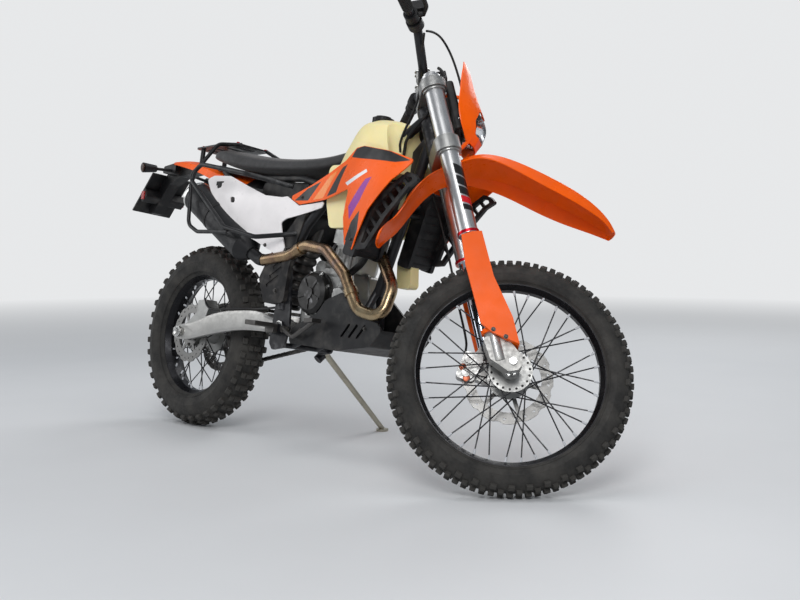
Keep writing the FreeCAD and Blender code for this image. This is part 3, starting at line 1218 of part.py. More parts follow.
def chain_outline(offset):
    """Closed loop round both sprockets, at an offset from the pitch line."""
    rear_r = REAR_SPROCKET_PITCH_R + offset
    front_r = FRONT_SPROCKET_PITCH_R + offset
    span_x, span_z = SPROCKET_X, SPROCKET_Z - REAR_TYRE_R
    span = hypot(span_x, span_z)
    base = atan2(span_z, span_x)
    spread = acos((rear_r - front_r) / span)
    top, bottom = base + spread, base - spread
    rear, front = vec(0, 0, REAR_TYRE_R), vec(SPROCKET_X, 0, SPROCKET_Z)

    def on(centre, radius, angle):
        return centre + vec(radius * cos(angle), 0, radius * sin(angle))
    return Part.Wire([
        Part.LineSegment(on(rear, rear_r, top), on(front, front_r, top)).toShape(),
        Part.Arc(on(front, front_r, top), on(front, front_r, base), on(front, front_r, bottom)).toShape(),
        Part.LineSegment(on(front, front_r, bottom), on(rear, rear_r, bottom)).toShape(),
        Part.Arc(on(rear, rear_r, bottom), on(rear, rear_r, base + pi), on(rear, rear_r, top)).toShape(),
    ])


def chain():
    """Roller chain as two bands of side plates on a lower band of rollers."""
    plate_t = CHAIN_HALF_WIDTH - CHAIN_ROLLER_HALF

    def band(half_height, y0, y1):
        loop = Part.Face(chain_outline(half_height)).extrude(vec(0, y1 - y0, 0))
        loop = loop.cut(Part.Face(chain_outline(-half_height)).extrude(vec(0, y1 - y0, 0)))
        loop.translate(vec(0, y0, 0))
        return loop
    rollers = band(CHAIN_ROLLER_R, CHAIN_Y - CHAIN_ROLLER_HALF, CHAIN_Y + CHAIN_ROLLER_HALF)
    outer = CHAIN_Y + CHAIN_ROLLER_HALF
    inner = CHAIN_Y - CHAIN_HALF_WIDTH
    return fuse([rollers, band(CHAIN_HALF_HEIGHT, outer, outer + plate_t),
                 band(CHAIN_HALF_HEIGHT, inner, inner + plate_t)])


# Side stand

def side_stand(foot_z):
    """Leg, hinge eye and foot pad; the leg ends inside the pad."""
    pivot = vec(*STAND_PIVOT)
    foot = vec(STAND_FOOT_X, STAND_FOOT_Y, foot_z)
    up = up_direction(0)
    axis = stand_axis(foot_z)
    leg = cone(pivot, foot + up * STAND_FOOT_T, STAND_R + 1, STAND_R - 1)
    eye = rod(pivot - axis * STAND_EYE_HALF, pivot + axis * STAND_EYE_HALF, 17)
    pad = Part.makeCylinder(STAND_FOOT_HALF, STAND_FOOT_T, foot, up)
    hole = rod(pivot - axis * 20, pivot + axis * 20, STAND_PIN_R + BEARING_GAP)
    return fuse([leg, eye, pad]).cut(hole)


def stand_bracket(foot_z):
    """Lug on the frame with the pin that the stand turns on."""
    pivot = vec(*STAND_PIVOT)
    axis = stand_axis(foot_z)
    face = STAND_EYE_HALF + BEARING_GAP
    lug = rod(pivot - axis * 38, pivot - axis * face, 16)
    pin = rod(pivot - axis * 20, pivot + axis * (face + 5), STAND_PIN_R)
    head_cap = rod(pivot + axis * face, pivot + axis * (face + 5), 12)
    return fuse([lug, pin, head_cap])


def stand_axis(foot_z):
    """Hinge axis that carries the leg from its parked place back beside the swingarm."""
    down = (vec(STAND_FOOT_X, STAND_FOOT_Y, foot_z) - vec(*STAND_PIVOT)).normalize()
    folded = vec(-0.985, 0.17, 0.0)
    return down.cross(folded).normalize()


# Stance on the ground

def surface_points(shape):
    return shape.tessellate(0.2)[0]


def turned(shape, centre, axis, angle):
    copy = shape.copy()
    copy.rotate(centre, axis, angle)
    return copy


def up_direction(pitch):
    """Direction that points straight up once the machine is leaned and pitched."""
    lean = radians(LEAN)
    return vec(-sin(pitch), -cos(pitch) * sin(lean), cos(pitch) * cos(lean))


def lowest(points, up):
    return min(p.dot(up) for p in points)


def find_stance(front, rear):
    """Pitch that sets both tyres on the ground, and the height of that ground."""
    front_points = surface_points(turned(front, HEAD_BASE, HEAD_DIR, STEER_LOCK))
    rear_points = surface_points(rear)
    low, high = radians(-6), radians(6)
    for _ in range(40):
        pitch = (low + high) / 2
        up = up_direction(pitch)
        if lowest(front_points, up) > lowest(rear_points, up):
            low = pitch
        else:
            high = pitch
    return pitch, lowest(rear_points, up_direction(pitch))


def stand_foot_height(pitch, ground):
    up = up_direction(pitch)
    return (ground - up.x * STAND_FOOT_X - up.y * STAND_FOOT_Y) / up.z


def set_down(shape, pitch, ground):
    leaned = turned(shape, vec(0, 0, 0), X_AXIS, -LEAN)
    pitched = turned(leaned, vec(0, 0, 0), Y_AXIS, degrees(pitch))
    pitched.translate(vec(0, 0, -ground))
    return pitched


def upright_pieces():
    """Every piece by name, with whether it turns with the bars."""
    steering_room = steering_space()
    fixed = {"frame": frame(), "engine_cases": engine_cases(), "swingarm": swingarm()}
    fixed["engine_cases"] = fixed["engine_cases"].cut(fixed["frame"])
    fixed["cylinder"] = cut(cylinder(), [fixed["frame"], fixed["engine_cases"]])
    fixed["engine_covers"] = engine_covers()
    fixed["exhaust_header"] = cut(exhaust_header(), [fixed["cylinder"], fixed["frame"]])
    fixed["subframe"] = cut(subframe(), [fixed["frame"], fixed["cylinder"], fixed["exhaust_header"]])
    fixed["muffler"] = cut(muffler(), [fixed["exhaust_header"], fixed["subframe"], fixed["frame"]])
    fixed["radiators"] = cut(radiators(), [fixed["frame"], fixed["exhaust_header"], steering_room])
    fixed["fuel_tank"] = cut(fuel_tank(), [fixed["frame"], fixed["cylinder"], fixed["radiators"], fixed["subframe"],
                                           fixed["exhaust_header"], steering_room])
    fixed["fuel_cap"] = fuel_cap().cut(fixed["fuel_tank"])
    fixed["coolant_bottle"] = cut(coolant_bottle(), [fixed["radiators"], fixed["frame"], fixed["cylinder"]])
    fixed["shock"] = cut(shock(), [fixed["frame"], fixed["swingarm"]])
    fixed["subframe"] = fixed["subframe"].cut(fixed["shock"])
    fixed["seat"] = cut(seat(), [fixed["fuel_tank"], fixed["frame"], fixed["subframe"]])
    fixed["rear_fender"] = cut(rear_fender(), [fixed["seat"], fixed["subframe"], fixed["muffler"]])
    fixed["plate_holder"] = plate_holder().cut(fixed["rear_fender"])
    shroud_right = mirrored(shroud())
    panel_right = mirrored(side_panel())
    obstacles = [fixed[name] for name in ("frame", "subframe", "muffler", "fuel_tank", "radiators", "seat",
                                          "exhaust_header", "cylinder", "rear_fender")]
    fixed["shroud_right"] = cut(shroud_right, obstacles + [steering_room])
    fixed["shroud_left"] = cut(shroud(), obstacles + [steering_room])
    fixed["side_panel_right"] = cut(panel_right, obstacles + [fixed["shroud_right"]])
    fixed["side_panel_left"] = cut(side_panel(), obstacles + [fixed["shroud_left"]])
    fixed["frame_guards"] = cut(frame_guards(), [fixed["frame"], fixed["subframe"], fixed["exhaust_header"],
                                                 fixed["side_panel_left"], fixed["side_panel_right"],
                                                 fixed["muffler"]] + fixed["engine_covers"].Solids)
    fixed["skid_plate"] = cut(skid_plate(), [fixed["frame"], fixed["engine_cases"], fixed["exhaust_header"]]
                              + fixed["engine_covers"].Solids)
    fixed["foot_controls"] = cut(foot_controls(), [fixed["frame"], fixed["skid_plate"], fixed["engine_cases"]])
    fixed["side_racks"] = cut(side_racks(), [fixed["subframe"], fixed["seat"], fixed["rear_fender"],
                                             fixed["side_panel_left"], fixed["side_panel_right"], fixed["muffler"],
                                             fixed["frame_guards"], fixed["frame"]])
    fixed["rear_axle"] = rear_axle()
    fixed["rear_caliper"] = rear_caliper()
    fixed["chain"] = chain()
    fixed["rear_rim"] = rear_rim()
    fixed["rear_tyre"] = rear_tyre()
    fixed["rear_hub"] = rear_hub()
    fixed["rear_disc"] = rear_disc()
    fixed["rear_sprocket"] = rear_sprocket()
    turning = {"fork_tubes": fork_tubes(), "fork_sliders": fork_sliders(), "triple_clamps": triple_clamps(),
               "handlebar": handlebar(), "bar_controls": bar_controls().cut(triple_clamps()), "front_axle": front_axle(),
               "front_tyre": front_tyre(), "front_rim": front_rim(), "front_hub": front_hub(),
               "front_disc": front_disc()}
    turning["front_fender"] = cut(front_fender(), [turning["fork_tubes"], turning["triple_clamps"]])
    turning["headlight_mask"] = cut(headlight_mask(), [turning["fork_tubes"], turning["triple_clamps"],
                                                       turning["front_fender"]])
    turning["headlight"] = cut(headlight(), [turning["fork_tubes"], turning["triple_clamps"],
                                             turning["headlight_mask"], turning["front_fender"]])
    turning["fork_guards"] = cut(fork_guards(), [turning["fork_sliders"], turning["fork_tubes"]])
    turning["front_caliper"] = cut(front_caliper(), [turning["fork_guards"]])
    return fixed, turning


def assembly():
    """All pieces set down on the ground, and the shift that centres the box on the origin."""
    fixed, turning = upright_pieces()
    pitch, ground = find_stance(turning["front_tyre"], fixed["rear_tyre"])
    foot_z = stand_foot_height(pitch, ground)
    fixed["side_stand"] = side_stand(foot_z)
    fixed["frame"] = fuse([fixed["frame"], stand_bracket(foot_z)])
    placed = {name: set_down(shape, pitch, ground) for name, shape in fixed.items()}
    for name, shape in turning.items():
        placed[name] = set_down(turned(shape, HEAD_BASE, HEAD_DIR, STEER_LOCK), pitch, ground)
    points = [p for shape in placed.values() for p in surface_points(shape)]
    middle = vec(-(min(p.x for p in points) + max(p.x for p in points)) / 2,
                 -(min(p.y for p in points) + max(p.y for p in points)) / 2, 0)
    for shape in placed.values():
        shape.translate(middle)
    return placed, pitch, ground, middle


os.makedirs("parts", exist_ok=True)
for name, shape in assembly()[0].items():
    shape.exportStep(f"parts/{name}.step")
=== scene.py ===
"""Enduro motorcycle on its side stand: finishes, tyres, seat, hoses, graphics and fasteners.

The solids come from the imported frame. Most of them are copied, merged, bevelled and given a
finish. Tyres, seat, chain, hoses, bolts and graphics are modelled here on the upright machine,
in millimetres, and then carried onto the parked one by the maps in Stance.
"""
import json
import logging
from dataclasses import dataclass, field
from enum import Enum
from math import acos, atan, atan2, cos, pi, radians, sin
from typing import Callable, ClassVar, Iterable, Optional, Sequence, Union

import bmesh
import bpy
from mathutils import Matrix, Vector
from mathutils.bvhtree import BVHTree

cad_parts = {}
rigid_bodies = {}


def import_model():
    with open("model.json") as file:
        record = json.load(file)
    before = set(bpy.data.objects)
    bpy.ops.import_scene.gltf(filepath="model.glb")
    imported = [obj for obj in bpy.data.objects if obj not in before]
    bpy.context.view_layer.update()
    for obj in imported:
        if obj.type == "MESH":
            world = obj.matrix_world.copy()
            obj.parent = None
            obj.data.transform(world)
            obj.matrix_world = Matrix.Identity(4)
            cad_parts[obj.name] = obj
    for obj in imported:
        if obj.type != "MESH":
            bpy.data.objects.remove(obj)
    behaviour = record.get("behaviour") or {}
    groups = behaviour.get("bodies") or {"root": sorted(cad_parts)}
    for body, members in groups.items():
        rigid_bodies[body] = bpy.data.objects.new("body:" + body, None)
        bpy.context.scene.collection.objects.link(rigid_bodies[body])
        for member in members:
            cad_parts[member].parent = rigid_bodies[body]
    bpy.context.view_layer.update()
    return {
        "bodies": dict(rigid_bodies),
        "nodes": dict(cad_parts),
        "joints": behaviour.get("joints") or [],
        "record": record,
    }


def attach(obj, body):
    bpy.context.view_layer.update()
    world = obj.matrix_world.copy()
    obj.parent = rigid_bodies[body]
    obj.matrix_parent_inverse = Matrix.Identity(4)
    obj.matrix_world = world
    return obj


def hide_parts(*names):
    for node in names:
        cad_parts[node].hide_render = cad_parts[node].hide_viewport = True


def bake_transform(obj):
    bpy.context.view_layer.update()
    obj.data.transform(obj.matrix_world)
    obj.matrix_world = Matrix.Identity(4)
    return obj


log = logging.getLogger("motorcycle")

MM = 0.001
RAKE = radians(26.1)
LEAN = radians(10.0)
STEER_LOCK = radians(45.0)
REAR_TYRE_R = 342.0
FRONT_TYRE_R = 350.0
FORK_LEAD = 22.0
FORK_SIDE = 103.0
WASHER_T = 1.4
SEATED = 0.6
FAR = 600.0
SIDES = (-1, 1)
SPOKES = 36
FRONT_HUB_HALF = 38.0
REAR_HUB_HALF = 52.0

AHEAD = Vector((1, 0, 0))
LEFT = Vector((0, 1, 0))
RIGHT = Vector((0, -1, 0))
UP = Vector((0, 0, 1))
HEAD_LEAD = Vector((cos(RAKE), 0, sin(RAKE)))
HEAD_UP = Vector((-sin(RAKE), 0, cos(RAKE)))
REAR_AXLE = Vector((0, 0, REAR_TYRE_R))

Colour = tuple[float, float, float]
Point = tuple[float, float, float]
Outline = Sequence[tuple[float, float]]
Spot = tuple[Vector, Vector]
Socket = bpy.types.NodeSocket
Value = Union[float, Sequence[float], Socket]

SURROUND: Colour = (0.80, 0.81, 0.82)
MERGE_GAP = 2e-6
FLAT_ANGLE = radians(0.4)


class Body(Enum):
    """Moving bodies of the machine."""

    CHASSIS = "chassis"
    STEERING = "steering"
    FRONT_WHEEL = "front_wheel"
    REAR_WHEEL = "rear_wheel"
    SIDE_STAND = "side_stand"


class Slot(Enum):
    """Material slots of the record that the added pieces are passed with."""

    AXLE = "axle_steel"
    BAR = "bar_black"
    CALIPER = "caliper_grey"
    CLAMP = "clamp_silver"
    HUB = "hub_silver"
    LAMP = "lamp_glass"
    MUFFLER = "muffler_black"
    PLASTIC = "plastic_black"
    RADIATOR = "radiator_black"


def shade(red: int, green: int, blue: int) -> Colour:
    """Linear colour of a display colour.

    Args:
        red: Red from 0 to 255.
        green: Green from 0 to 255.
        blue: Blue from 0 to 255.

    Returns:
        The three linear values.
    """
    def linear(value: int) -> float:
        """One channel from display value to linear light."""
        share = value / 255
        return share / 12.92 if share <= 0.04045 else ((share + 0.055) / 1.055) ** 2.4
    return linear(red), linear(green), linear(blue)


def toned(colour: Colour, factor: float, lift: float = 0.0) -> Colour:
    """Colour made darker or lighter by a factor, and lifted by a little."""
    return tuple(channel * factor + lift for channel in colour)


# Stance

@dataclass(frozen=True)
class Stance:
    """Maps from the upright machine in millimetres to the parked one in metres."""

    chassis: Matrix
    steering: Matrix
    front_axle: Vector
    head_base: Vector

    @classmethod
    def from_joints(cls, joints: Sequence[dict]) -> "Stance":
        """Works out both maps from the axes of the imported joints.

        Args:
            joints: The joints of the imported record.

        Returns:
            The stance of the parked machine.
        """
        named = {joint["name"]: joint for joint in joints}
        left = Vector(named["rear_wheel_spin"]["axis"]).normalized()
        head = Vector(named["steer"]["axis"]).normalized()
        lead = left.cross(head).normalized()
        forward = lead * cos(RAKE) - head * sin(RAKE)
        turn = Matrix((forward, left, forward.cross(left))).transposed().to_4x4()
        axle = Vector(named["rear_wheel_spin"]["pos_m"])
        chassis = Matrix.Translation(axle) @ turn @ Matrix.Scale(MM, 4) @ Matrix.Translation(-REAR_AXLE)
        on_axis = chassis.inverted() @ Vector(named["steer"]["pos_m"])
        about = Matrix.Rotation(STEER_LOCK, 4, HEAD_UP)
        steering = chassis @ Matrix.Translation(on_axis) @ about @ Matrix.Translation(-on_axis)
        front = steering.inverted() @ Vector(named["front_wheel_spin"]["pos_m"])
        base = on_axis + HEAD_UP * (front - on_axis).dot(HEAD_UP)
        return cls(chassis, steering, front, base)

    def of(self, body: Body) -> Matrix:
        """Map of the body that a piece rides on."""
        return self.steering if body in (Body.STEERING, Body.FRONT_WHEEL) else self.chassis

    def axle(self, body: Body) -> Vector:
        """Middle of a wheel on the upright machine."""
        return self.front_axle if body is Body.FRONT_WHEEL else REAR_AXLE

    def wheel(self, body: Body) -> Matrix:
        """Map of a wheel's own frame, which has the axle along Y."""
        return self.of(body) @ Matrix.Translation(self.axle(body))

    def head(self, lead: float, up: float, side: float = 0.0) -> Vector:
        """Point by its lead ahead of the head axis, its height along it and its side."""
        return self.head_base + HEAD_LEAD * lead + HEAD_UP * up + LEFT * side

    def head_outline(self, bounds: Outline) -> Outline:
        """Side view of an outline given by lead and height along the head axis."""
        points = [self.head(lead, up) for lead, up in bounds]
        return [(point.x, point.z) for point in points]

    def fork_frame(self) -> Matrix:
        """Map whose local Z runs up the fork legs."""
        return self.steering @ Matrix.Translation(self.head_base) @ Matrix.Rotation(-RAKE, 4, "Y")


# Finishes

@dataclass(frozen=True)
class Cloud:
    """Noise by its patches per metre and its detail, with the band of its values that counts."""

    per_metre: float
    detail: float = 4.0
    low: float = 0.3
    high: float = 0.7


class Shader:
    """Wires the nodes of one material."""

    def __init__(self, name: str) -> None:
        """Starts a material with its principled surface."""
        self.material = bpy.data.materials.new(name)
        self.material.use_nodes = True
        self.nodes = self.material.node_tree.nodes
        self.links = self.material.node_tree.links
        self.surface = self.nodes["Principled BSDF"]

    def put(self, socket: str, value: Value) -> None:
        """Sets a socket of the surface, or links an output to it."""
        self.feed(self.surface.inputs[socket], value)

    def feed(self, socket: Socket, value: Value) -> None:
        """Sets any socket, or links an output to it.

        Args:
            socket: The input socket.
            value: A number, a vector, a linear colour or an output.
        """
        if isinstance(value, Socket):
            self.links.new(value, socket)
        elif isinstance(value, tuple) and len(value) == 3 and socket.type == "RGBA":
            socket.default_value = (*value, 1.0)
        else:
            socket.default_value = value

    def node(self, kind: str, values: dict) -> bpy.types.Node:
        """New node with its inputs set or linked.

        Args:
            kind: Blender's name of the node.
            values: Values or outputs by input.

        Returns:
            The node.
        """
        made = self.nodes.new(kind)
        for name, value in values.items():
            self.feed(made.inputs[name], value)
        return made

    def coordinates(self, place: Optional[Matrix] = None, stretch: Optional[Point] = None) -> Socket:
        """Object coordinates, turned into a local frame and stretched.

        Args:
            place: Map from the local frame to the row frame, or nothing for the row frame.
            stretch: Factor along each local axis, or nothing.

        Returns:
            The vector output.
        """
        vector = self.nodes.new("ShaderNodeTexCoord").outputs["Object"]
        if place is not None:
            back = place.inverted()
            turn = back.to_quaternion().to_euler()
            turned = {"Vector": vector, "Location": back.to_translation() * MM, "Rotation": turn}
            vector = self.node("ShaderNodeMapping", turned).outputs["Vector"]
        if stretch is not None:
            vector = self.node("ShaderNodeMapping", {"Vector": vector, "Scale": stretch}).outputs["Vector"]
        return vector

    def noise(self, vector: Socket, per_metre: float, detail: float = 3.0, distortion: float = 0.0) -> Socket:
        """Cloudy value from 0 to 1."""
        values = {"Vector": vector, "Scale": per_metre, "Detail": detail, "Distortion": distortion}
        return self.node("ShaderNodeTexNoise", values).outputs[0]

    def cells(self, vector: Socket, per_metre: float) -> Socket:
        """Distance to the nearest of scattered points."""
        return self.node("ShaderNodeTexVoronoi", {"Vector": vector, "Scale": per_metre}).outputs["Distance"]

    def spread(self, value: Value, low: float, high: float, to_low: float, to_high: float) -> Socket:
        """Maps a range of values onto another, held at its ends."""
        ends = {"Value": value, "From Min": low, "From Max": high, "To Min": to_low, "To Max": to_high}
        return self.node("ShaderNodeMapRange", ends).outputs["Result"]

    def cloudy(self, vector: Socket, cloud: Cloud, to_low: float = 0.0, to_high: float = 1.0) -> Socket:
        """Cloud whose band is spread over a range."""
        noise = self.noise(vector, cloud.per_metre, cloud.detail)
        return self.spread(noise, cloud.low, cloud.high, to_low, to_high)

    def roughen(self, vector: Socket, cloud: Cloud, low: float, high: float) -> None:
        """Varies the roughness of the surface between two values by a cloud."""
        self.put("Roughness", self.cloudy(vector, cloud, low, high))

    def ramp(self, value: Value, stops: Sequence[tuple[float, Colour]]) -> Socket:
        """Colour by value through a list of stops.

        Args:
            value: The value from 0 to 1.
            stops: Places with their colours.

        Returns:
            The colour output.
        """
        node = self.node("ShaderNodeValToRGB", {"Fac": value})
        elements = node.color_ramp.elements
        while len(elements) < len(stops):
            elements.new(1.0)
        for element, (place, colour) in zip(elements, stops):
            element.position = place
            element.color = (*colour, 1.0)
        return node.outputs["Color"]

    def mixed(self, share: Value, first: Value, second: Value) -> Socket:
        """Mix of two colours.

        Args:
            share: How much of the second shows.
            first: A colour or an output.
            second: A colour or an output.

        Returns:
            The colour output.
        """
        node = self.nodes.new("ShaderNodeMix")
        node.data_type = "RGBA"
        self.feed(node.inputs[0], share)
        self.feed(node.inputs[6], first)
        self.feed(node.inputs[7], second)
        return node.outputs[2]

    def clouded(self, vector: Socket, cloud: Cloud, share: float, colour: Colour, factor: float) -> Socket:
        """Colour that a cloud tones by a factor, up to a share."""
        return self.mixed(self.cloudy(vector, cloud, 0.0, share), colour, toned(colour, factor))

    def sums(self, operation: str, first: Value, second: Value = 0.0) -> Socket:
        """One arithmetic step on one or two values."""
        node = self.node("ShaderNodeMath", {0: first, 1: second})
        node.operation = operation
        return node.outputs[0]

    def split(self, vector: Socket) -> bpy.types.bpy_prop_collection:
        """The three parts of a vector."""
        return self.node("ShaderNodeSeparateXYZ", {0: vector}).outputs

    def reach(self, first: Value, second: Value) -> Socket:
        """Length of the vector that two values make."""
        squares = [self.sums("MULTIPLY", value, value) for value in (first, second)]
        return self.sums("SQRT", self.sums("ADD", *squares))

    def edges(self) -> Socket:
        """Value that rises on worn convex edges."""
        node = self.nodes.new("ShaderNodeNewGeometry")
        return self.spread(node.outputs["Pointiness"], 0.52, 0.60, 0.0, 1.0)

    def bumps(self, height: Value, strength: float, depth: float) -> None:
        """Raises the surface by a height, up to a depth in millimetres."""
        values = {"Strength": strength, "Distance": depth * MM, "Height": height}
        self.put("Normal", self.node("ShaderNodeBump", values).outputs["Normal"])


@dataclass(frozen=True)
class Finish:
    """A named finish that wires its own material."""

    name: str

    def wire(self, shader: Shader) -> None:
        """Wires the nodes. Each kind of finish gives its own."""
        raise NotImplementedError

    def material(self) -> bpy.types.Material:
        """The material of this finish, made once."""
        known = bpy.data.materials.get(self.name)
        if known is not None:
            return known
        shader = Shader(self.name)
        self.wire(shader)
        return shader.material


@dataclass(frozen=True)
class Plastic(Finish):
    """Moulded plastic with faint mottling, smears and a moulding grain."""

    mottle: ClassVar[Cloud] = Cloud(7.0, 5.0, 0.35, 0.65)
    dusting: ClassVar[Cloud] = Cloud(23.0, 6.0, 0.48, 0.80)
    smears: ClassVar[Cloud] = Cloud(31.0, 4.0, 0.3, 0.75)
    dust_colour: ClassVar[Colour] = (0.55, 0.50, 0.44)
    colour: Colour
    roughness: float = 0.34
    grain: float = 0.12
    grain_size: float = 0.9
    dust: float = 0.06
    clear: float = 0.0
    shine: float = 0.32

    def wire(self, shader: Shader) -> None:
        """Wires the moulded surface."""
        place = shader.coordinates()
        base = shader.clouded(place, self.mottle, 1.0, self.colour, 0.86)
        dusty = shader.cloudy(place, self.dusting, 0.0, self.dust)
        shader.put("Base Color", shader.mixed(dusty, base, self.dust_colour))
        shader.roughen(place, self.smears, self.roughness - 0.06, self.roughness + 0.12)
        shader.put("Specular IOR Level", self.shine)
        shader.put("Coat Weight", self.clear)
        shader.put("Coat Roughness", 0.08)
        shader.bumps(shader.noise(place, 1.0 / (self.grain_size * MM), 2.0), self.grain, 0.15)


@dataclass(frozen=True)
class Film(Plastic):
    """Graphic film with a clear face."""

    roughness: float = 0.3
    dust: float = 0.02
    clear: float = 0.1


@dataclass(frozen=True)
class Coated(Finish):
    """Powder coated or painted metal, rubbed through on its edges."""

    chips: ClassVar[Cloud] = Cloud(60.0, 6.0, 0.45, 0.62)
    tones: ClassVar[Cloud] = Cloud(11.0)
    smears: ClassVar[Cloud] = Cloud(45.0, 5.0)
    bare: ClassVar[Colour] = (0.42, 0.42, 0.43)
    colour: Colour
    roughness: float = 0.42
    wear: float = 0.35
    metallic: float = 0.35

    def wire(self, shader: Shader) -> None:
        """Wires the coat, its wear and its fine orange peel."""
        place = shader.coordinates()
        rubbed = shader.sums("MULTIPLY", shader.edges(), shader.cloudy(place, self.chips, 0.0, self.wear))
        tone = shader.cloudy(place, self.tones, 0.0, 0.5)
        coat = shader.mixed(tone, self.colour, toned(self.colour, 1.5, 0.006))
        shader.put("Base Color", shader.mixed(rubbed, coat, self.bare))
        shader.put("Metallic", self.metallic)
        shader.roughen(place, self.smears, self.roughness - 0.08, self.roughness + 0.12)
        shader.bumps(shader.noise(place, 900.0, 2.0), 0.15, 0.1)


@dataclass(frozen=True)
class Cast(Finish):
    """Cast metal with a sand grain and cloudy patches of grime."""

    grimy: ClassVar[Cloud] = Cloud(19.0, 7.0, 0.45, 0.75)
    smears: ClassVar[Cloud] = Cloud(90.0)
    colour: Colour
    roughness: float = 0.46
    grain: float = 0.5
    grime: float = 0.35

    def wire(self, shader: Shader) -> None:
        """Wires the cast surface."""
        place = shader.coordinates()
        shader.put("Base Color", shader.clouded(place, self.grimy, self.grime, self.colour, 0.4))
        shader.put("Metallic", 0.9)
        shader.roughen(place, self.smears, self.roughness - 0.1, self.roughness + 0.14)
        grain = shader.sums("ADD", shader.noise(place, 800.0), shader.cells(place, 520.0))
        shader.bumps(grain, self.grain, 0.12)


@dataclass(frozen=True)
class Brushed(Finish):
    """Metal with fine marks drawn along the local Z of a frame, or in rings about its Y."""

    stains: ClassVar[Cloud] = Cloud(26.0, 6.0, 0.42, 0.75)
    drawn: ClassVar[Point] = (1, 1, 0.012)
    colour: Colour
    place: Matrix
    rings: bool = False
    roughness: float = 0.3
    marks: float = 0.25
    stain: float = 0.2

    def wire(self, shader: Shader) -> None:
        """Wires the drawn or turned marks."""
        local = shader.coordinates(self.place)
        if self.rings:
            x, _, z = shader.split(local)
            ring = shader.node("ShaderNodeCombineXYZ", {0: shader.reach(x, z)})
            scored = shader.noise(ring.outputs[0], 1400.0, 4.0)
        else:
            scored = shader.noise(shader.coordinates(self.place, self.drawn), 1500.0, 5.0)
        shader.put("Base Color", shader.clouded(local, self.stains, self.stain, self.colour, 0.55))
        shader.put("Metallic", 1.0)
        rough = shader.spread(scored, 0.25, 0.75, self.roughness - 0.08, self.roughness + 0.12)
        shader.put("Roughness", rough)
        shader.bumps(scored, self.marks, 0.03)


@dataclass(frozen=True)
class HeatTinted(Finish):
    """Bare exhaust tube coloured by heat along its run and at its welds."""

    stops: ClassVar[Sequence[tuple[float, Colour]]] = (
        (0.0, shade(184, 176, 158)), (0.22, shade(176, 160, 130)), (0.42, shade(156, 134, 104)),
        (0.58, shade(128, 104, 84)), (0.72, shade(112, 98, 92)), (0.86, shade(150, 138, 116)),
        (1.0, shade(184, 176, 158)))
    smears: ClassVar[Cloud] = Cloud(70.0, 5.0)
    place: Matrix

    def wire(self, shader: Shader) -> None:
        """Wires bands of straw, bronze and grey that drift along the tube."""
        local = shader.coordinates(self.place)
        _, _, height = shader.split(local)
        drift = shader.spread(shader.noise(local, 14.0, 5.0, 0.6), 0.25, 0.75, -0.22, 0.26)
        heat = shader.sums("ADD", shader.spread(height, 0.42, 0.72, 0.25, 0.62), drift)
        shader.put("Base Color", shader.ramp(heat, self.stops))
        shader.put("Metallic", 1.0)
        shader.roughen(local, self.smears, 0.2, 0.38)
        shader.bumps(shader.noise(local, 500.0), 0.12, 0.1)


@dataclass(frozen=True)
class Rubber(Finish):
    """Tyre rubber, grey with dust on its sides and in its grooves."""

    dusting: ClassVar[Cloud] = Cloud(16.0, 8.0, 0.38, 0.78)
    smears: ClassVar[Cloud] = Cloud(120.0)
    colour: Colour = (0.018, 0.0175, 0.017)
    dust_colour: Colour = (0.095, 0.088, 0.078)
    dust: float = 0.55

    def wire(self, shader: Shader) -> None:
        """Wires the worn rubber."""
        place = shader.coordinates()
        rubbed = shader.sums("MULTIPLY", shader.edges(), 0.35)
        dusty = shader.sums("MAXIMUM", shader.cloudy(place, self.dusting, 0.05, self.dust), rubbed)
        shader.put("Base Color", shader.mixed(dusty, self.colour, self.dust_colour))
        shader.roughen(place, self.smears, 0.66, 0.9)
        shader.put("Specular IOR Level", 0.35)
        shader.bumps(shader.noise(place, 420.0, 5.0), 0.35, 0.2)


@dataclass(frozen=True)
class Milky(Finish):
    """Translucent moulded tank plastic."""

    mottle: ClassVar[Cloud] = Cloud(9.0, 5.0)
    smears: ClassVar[Cloud] = Cloud(40.0)
    colour: Colour

    def wire(self, shader: Shader) -> None:
        """Wires a cream plastic that light sinks into."""
        place = shader.coordinates()
        shader.put("Base Color", shader.clouded(place, self.mottle, 1.0, self.colour, 0.88))
        shader.put("Subsurface Weight", 0.35)
        shader.put("Subsurface Radius", (0.02, 0.014, 0.006))
        shader.put("Subsurface Scale", 0.6)
        shader.roughen(place, self.smears, 0.3, 0.42)
        shader.bumps(shader.noise(place, 700.0, 2.0), 0.15, 0.12)


@dataclass(frozen=True)
class Cover(Finish):
    """Seat cover: a fine pebbled vinyl with a soft sheen."""

    mottle: ClassVar[Cloud] = Cloud(13.0, 6.0)
    smears: ClassVar[Cloud] = Cloud(60.0)
    colour: Colour
    pebble: float = 1.5
    ribbed: float = 0.0

    def wire(self, shader: Shader) -> None:
        """Wires pebbles and, on the gripping top, cross ribs."""
        place = shader.coordinates()
        shader.put("Base Color", shader.clouded(place, self.mottle, 1.0, self.colour, 0.7))
        shader.roughen(place, self.smears, 0.52, 0.72)
        shader.put("Sheen Weight", 0.25)
        shader.put("Sheen Roughness", 0.4)
        pebbles = shader.cells(place, 1.0 / (self.pebble * MM))
        height = shader.sums("ADD", pebbles, shader.noise(place, 1500.0, 2.0))
        if self.ribbed:
            along, _, _ = shader.split(place)
            wave = shader.sums("SINE", shader.sums("MULTIPLY", along, 2 * pi / (self.ribbed * MM)))
            height = shader.sums("ADD", height, wave)
        shader.bumps(height, 0.45, 0.25)


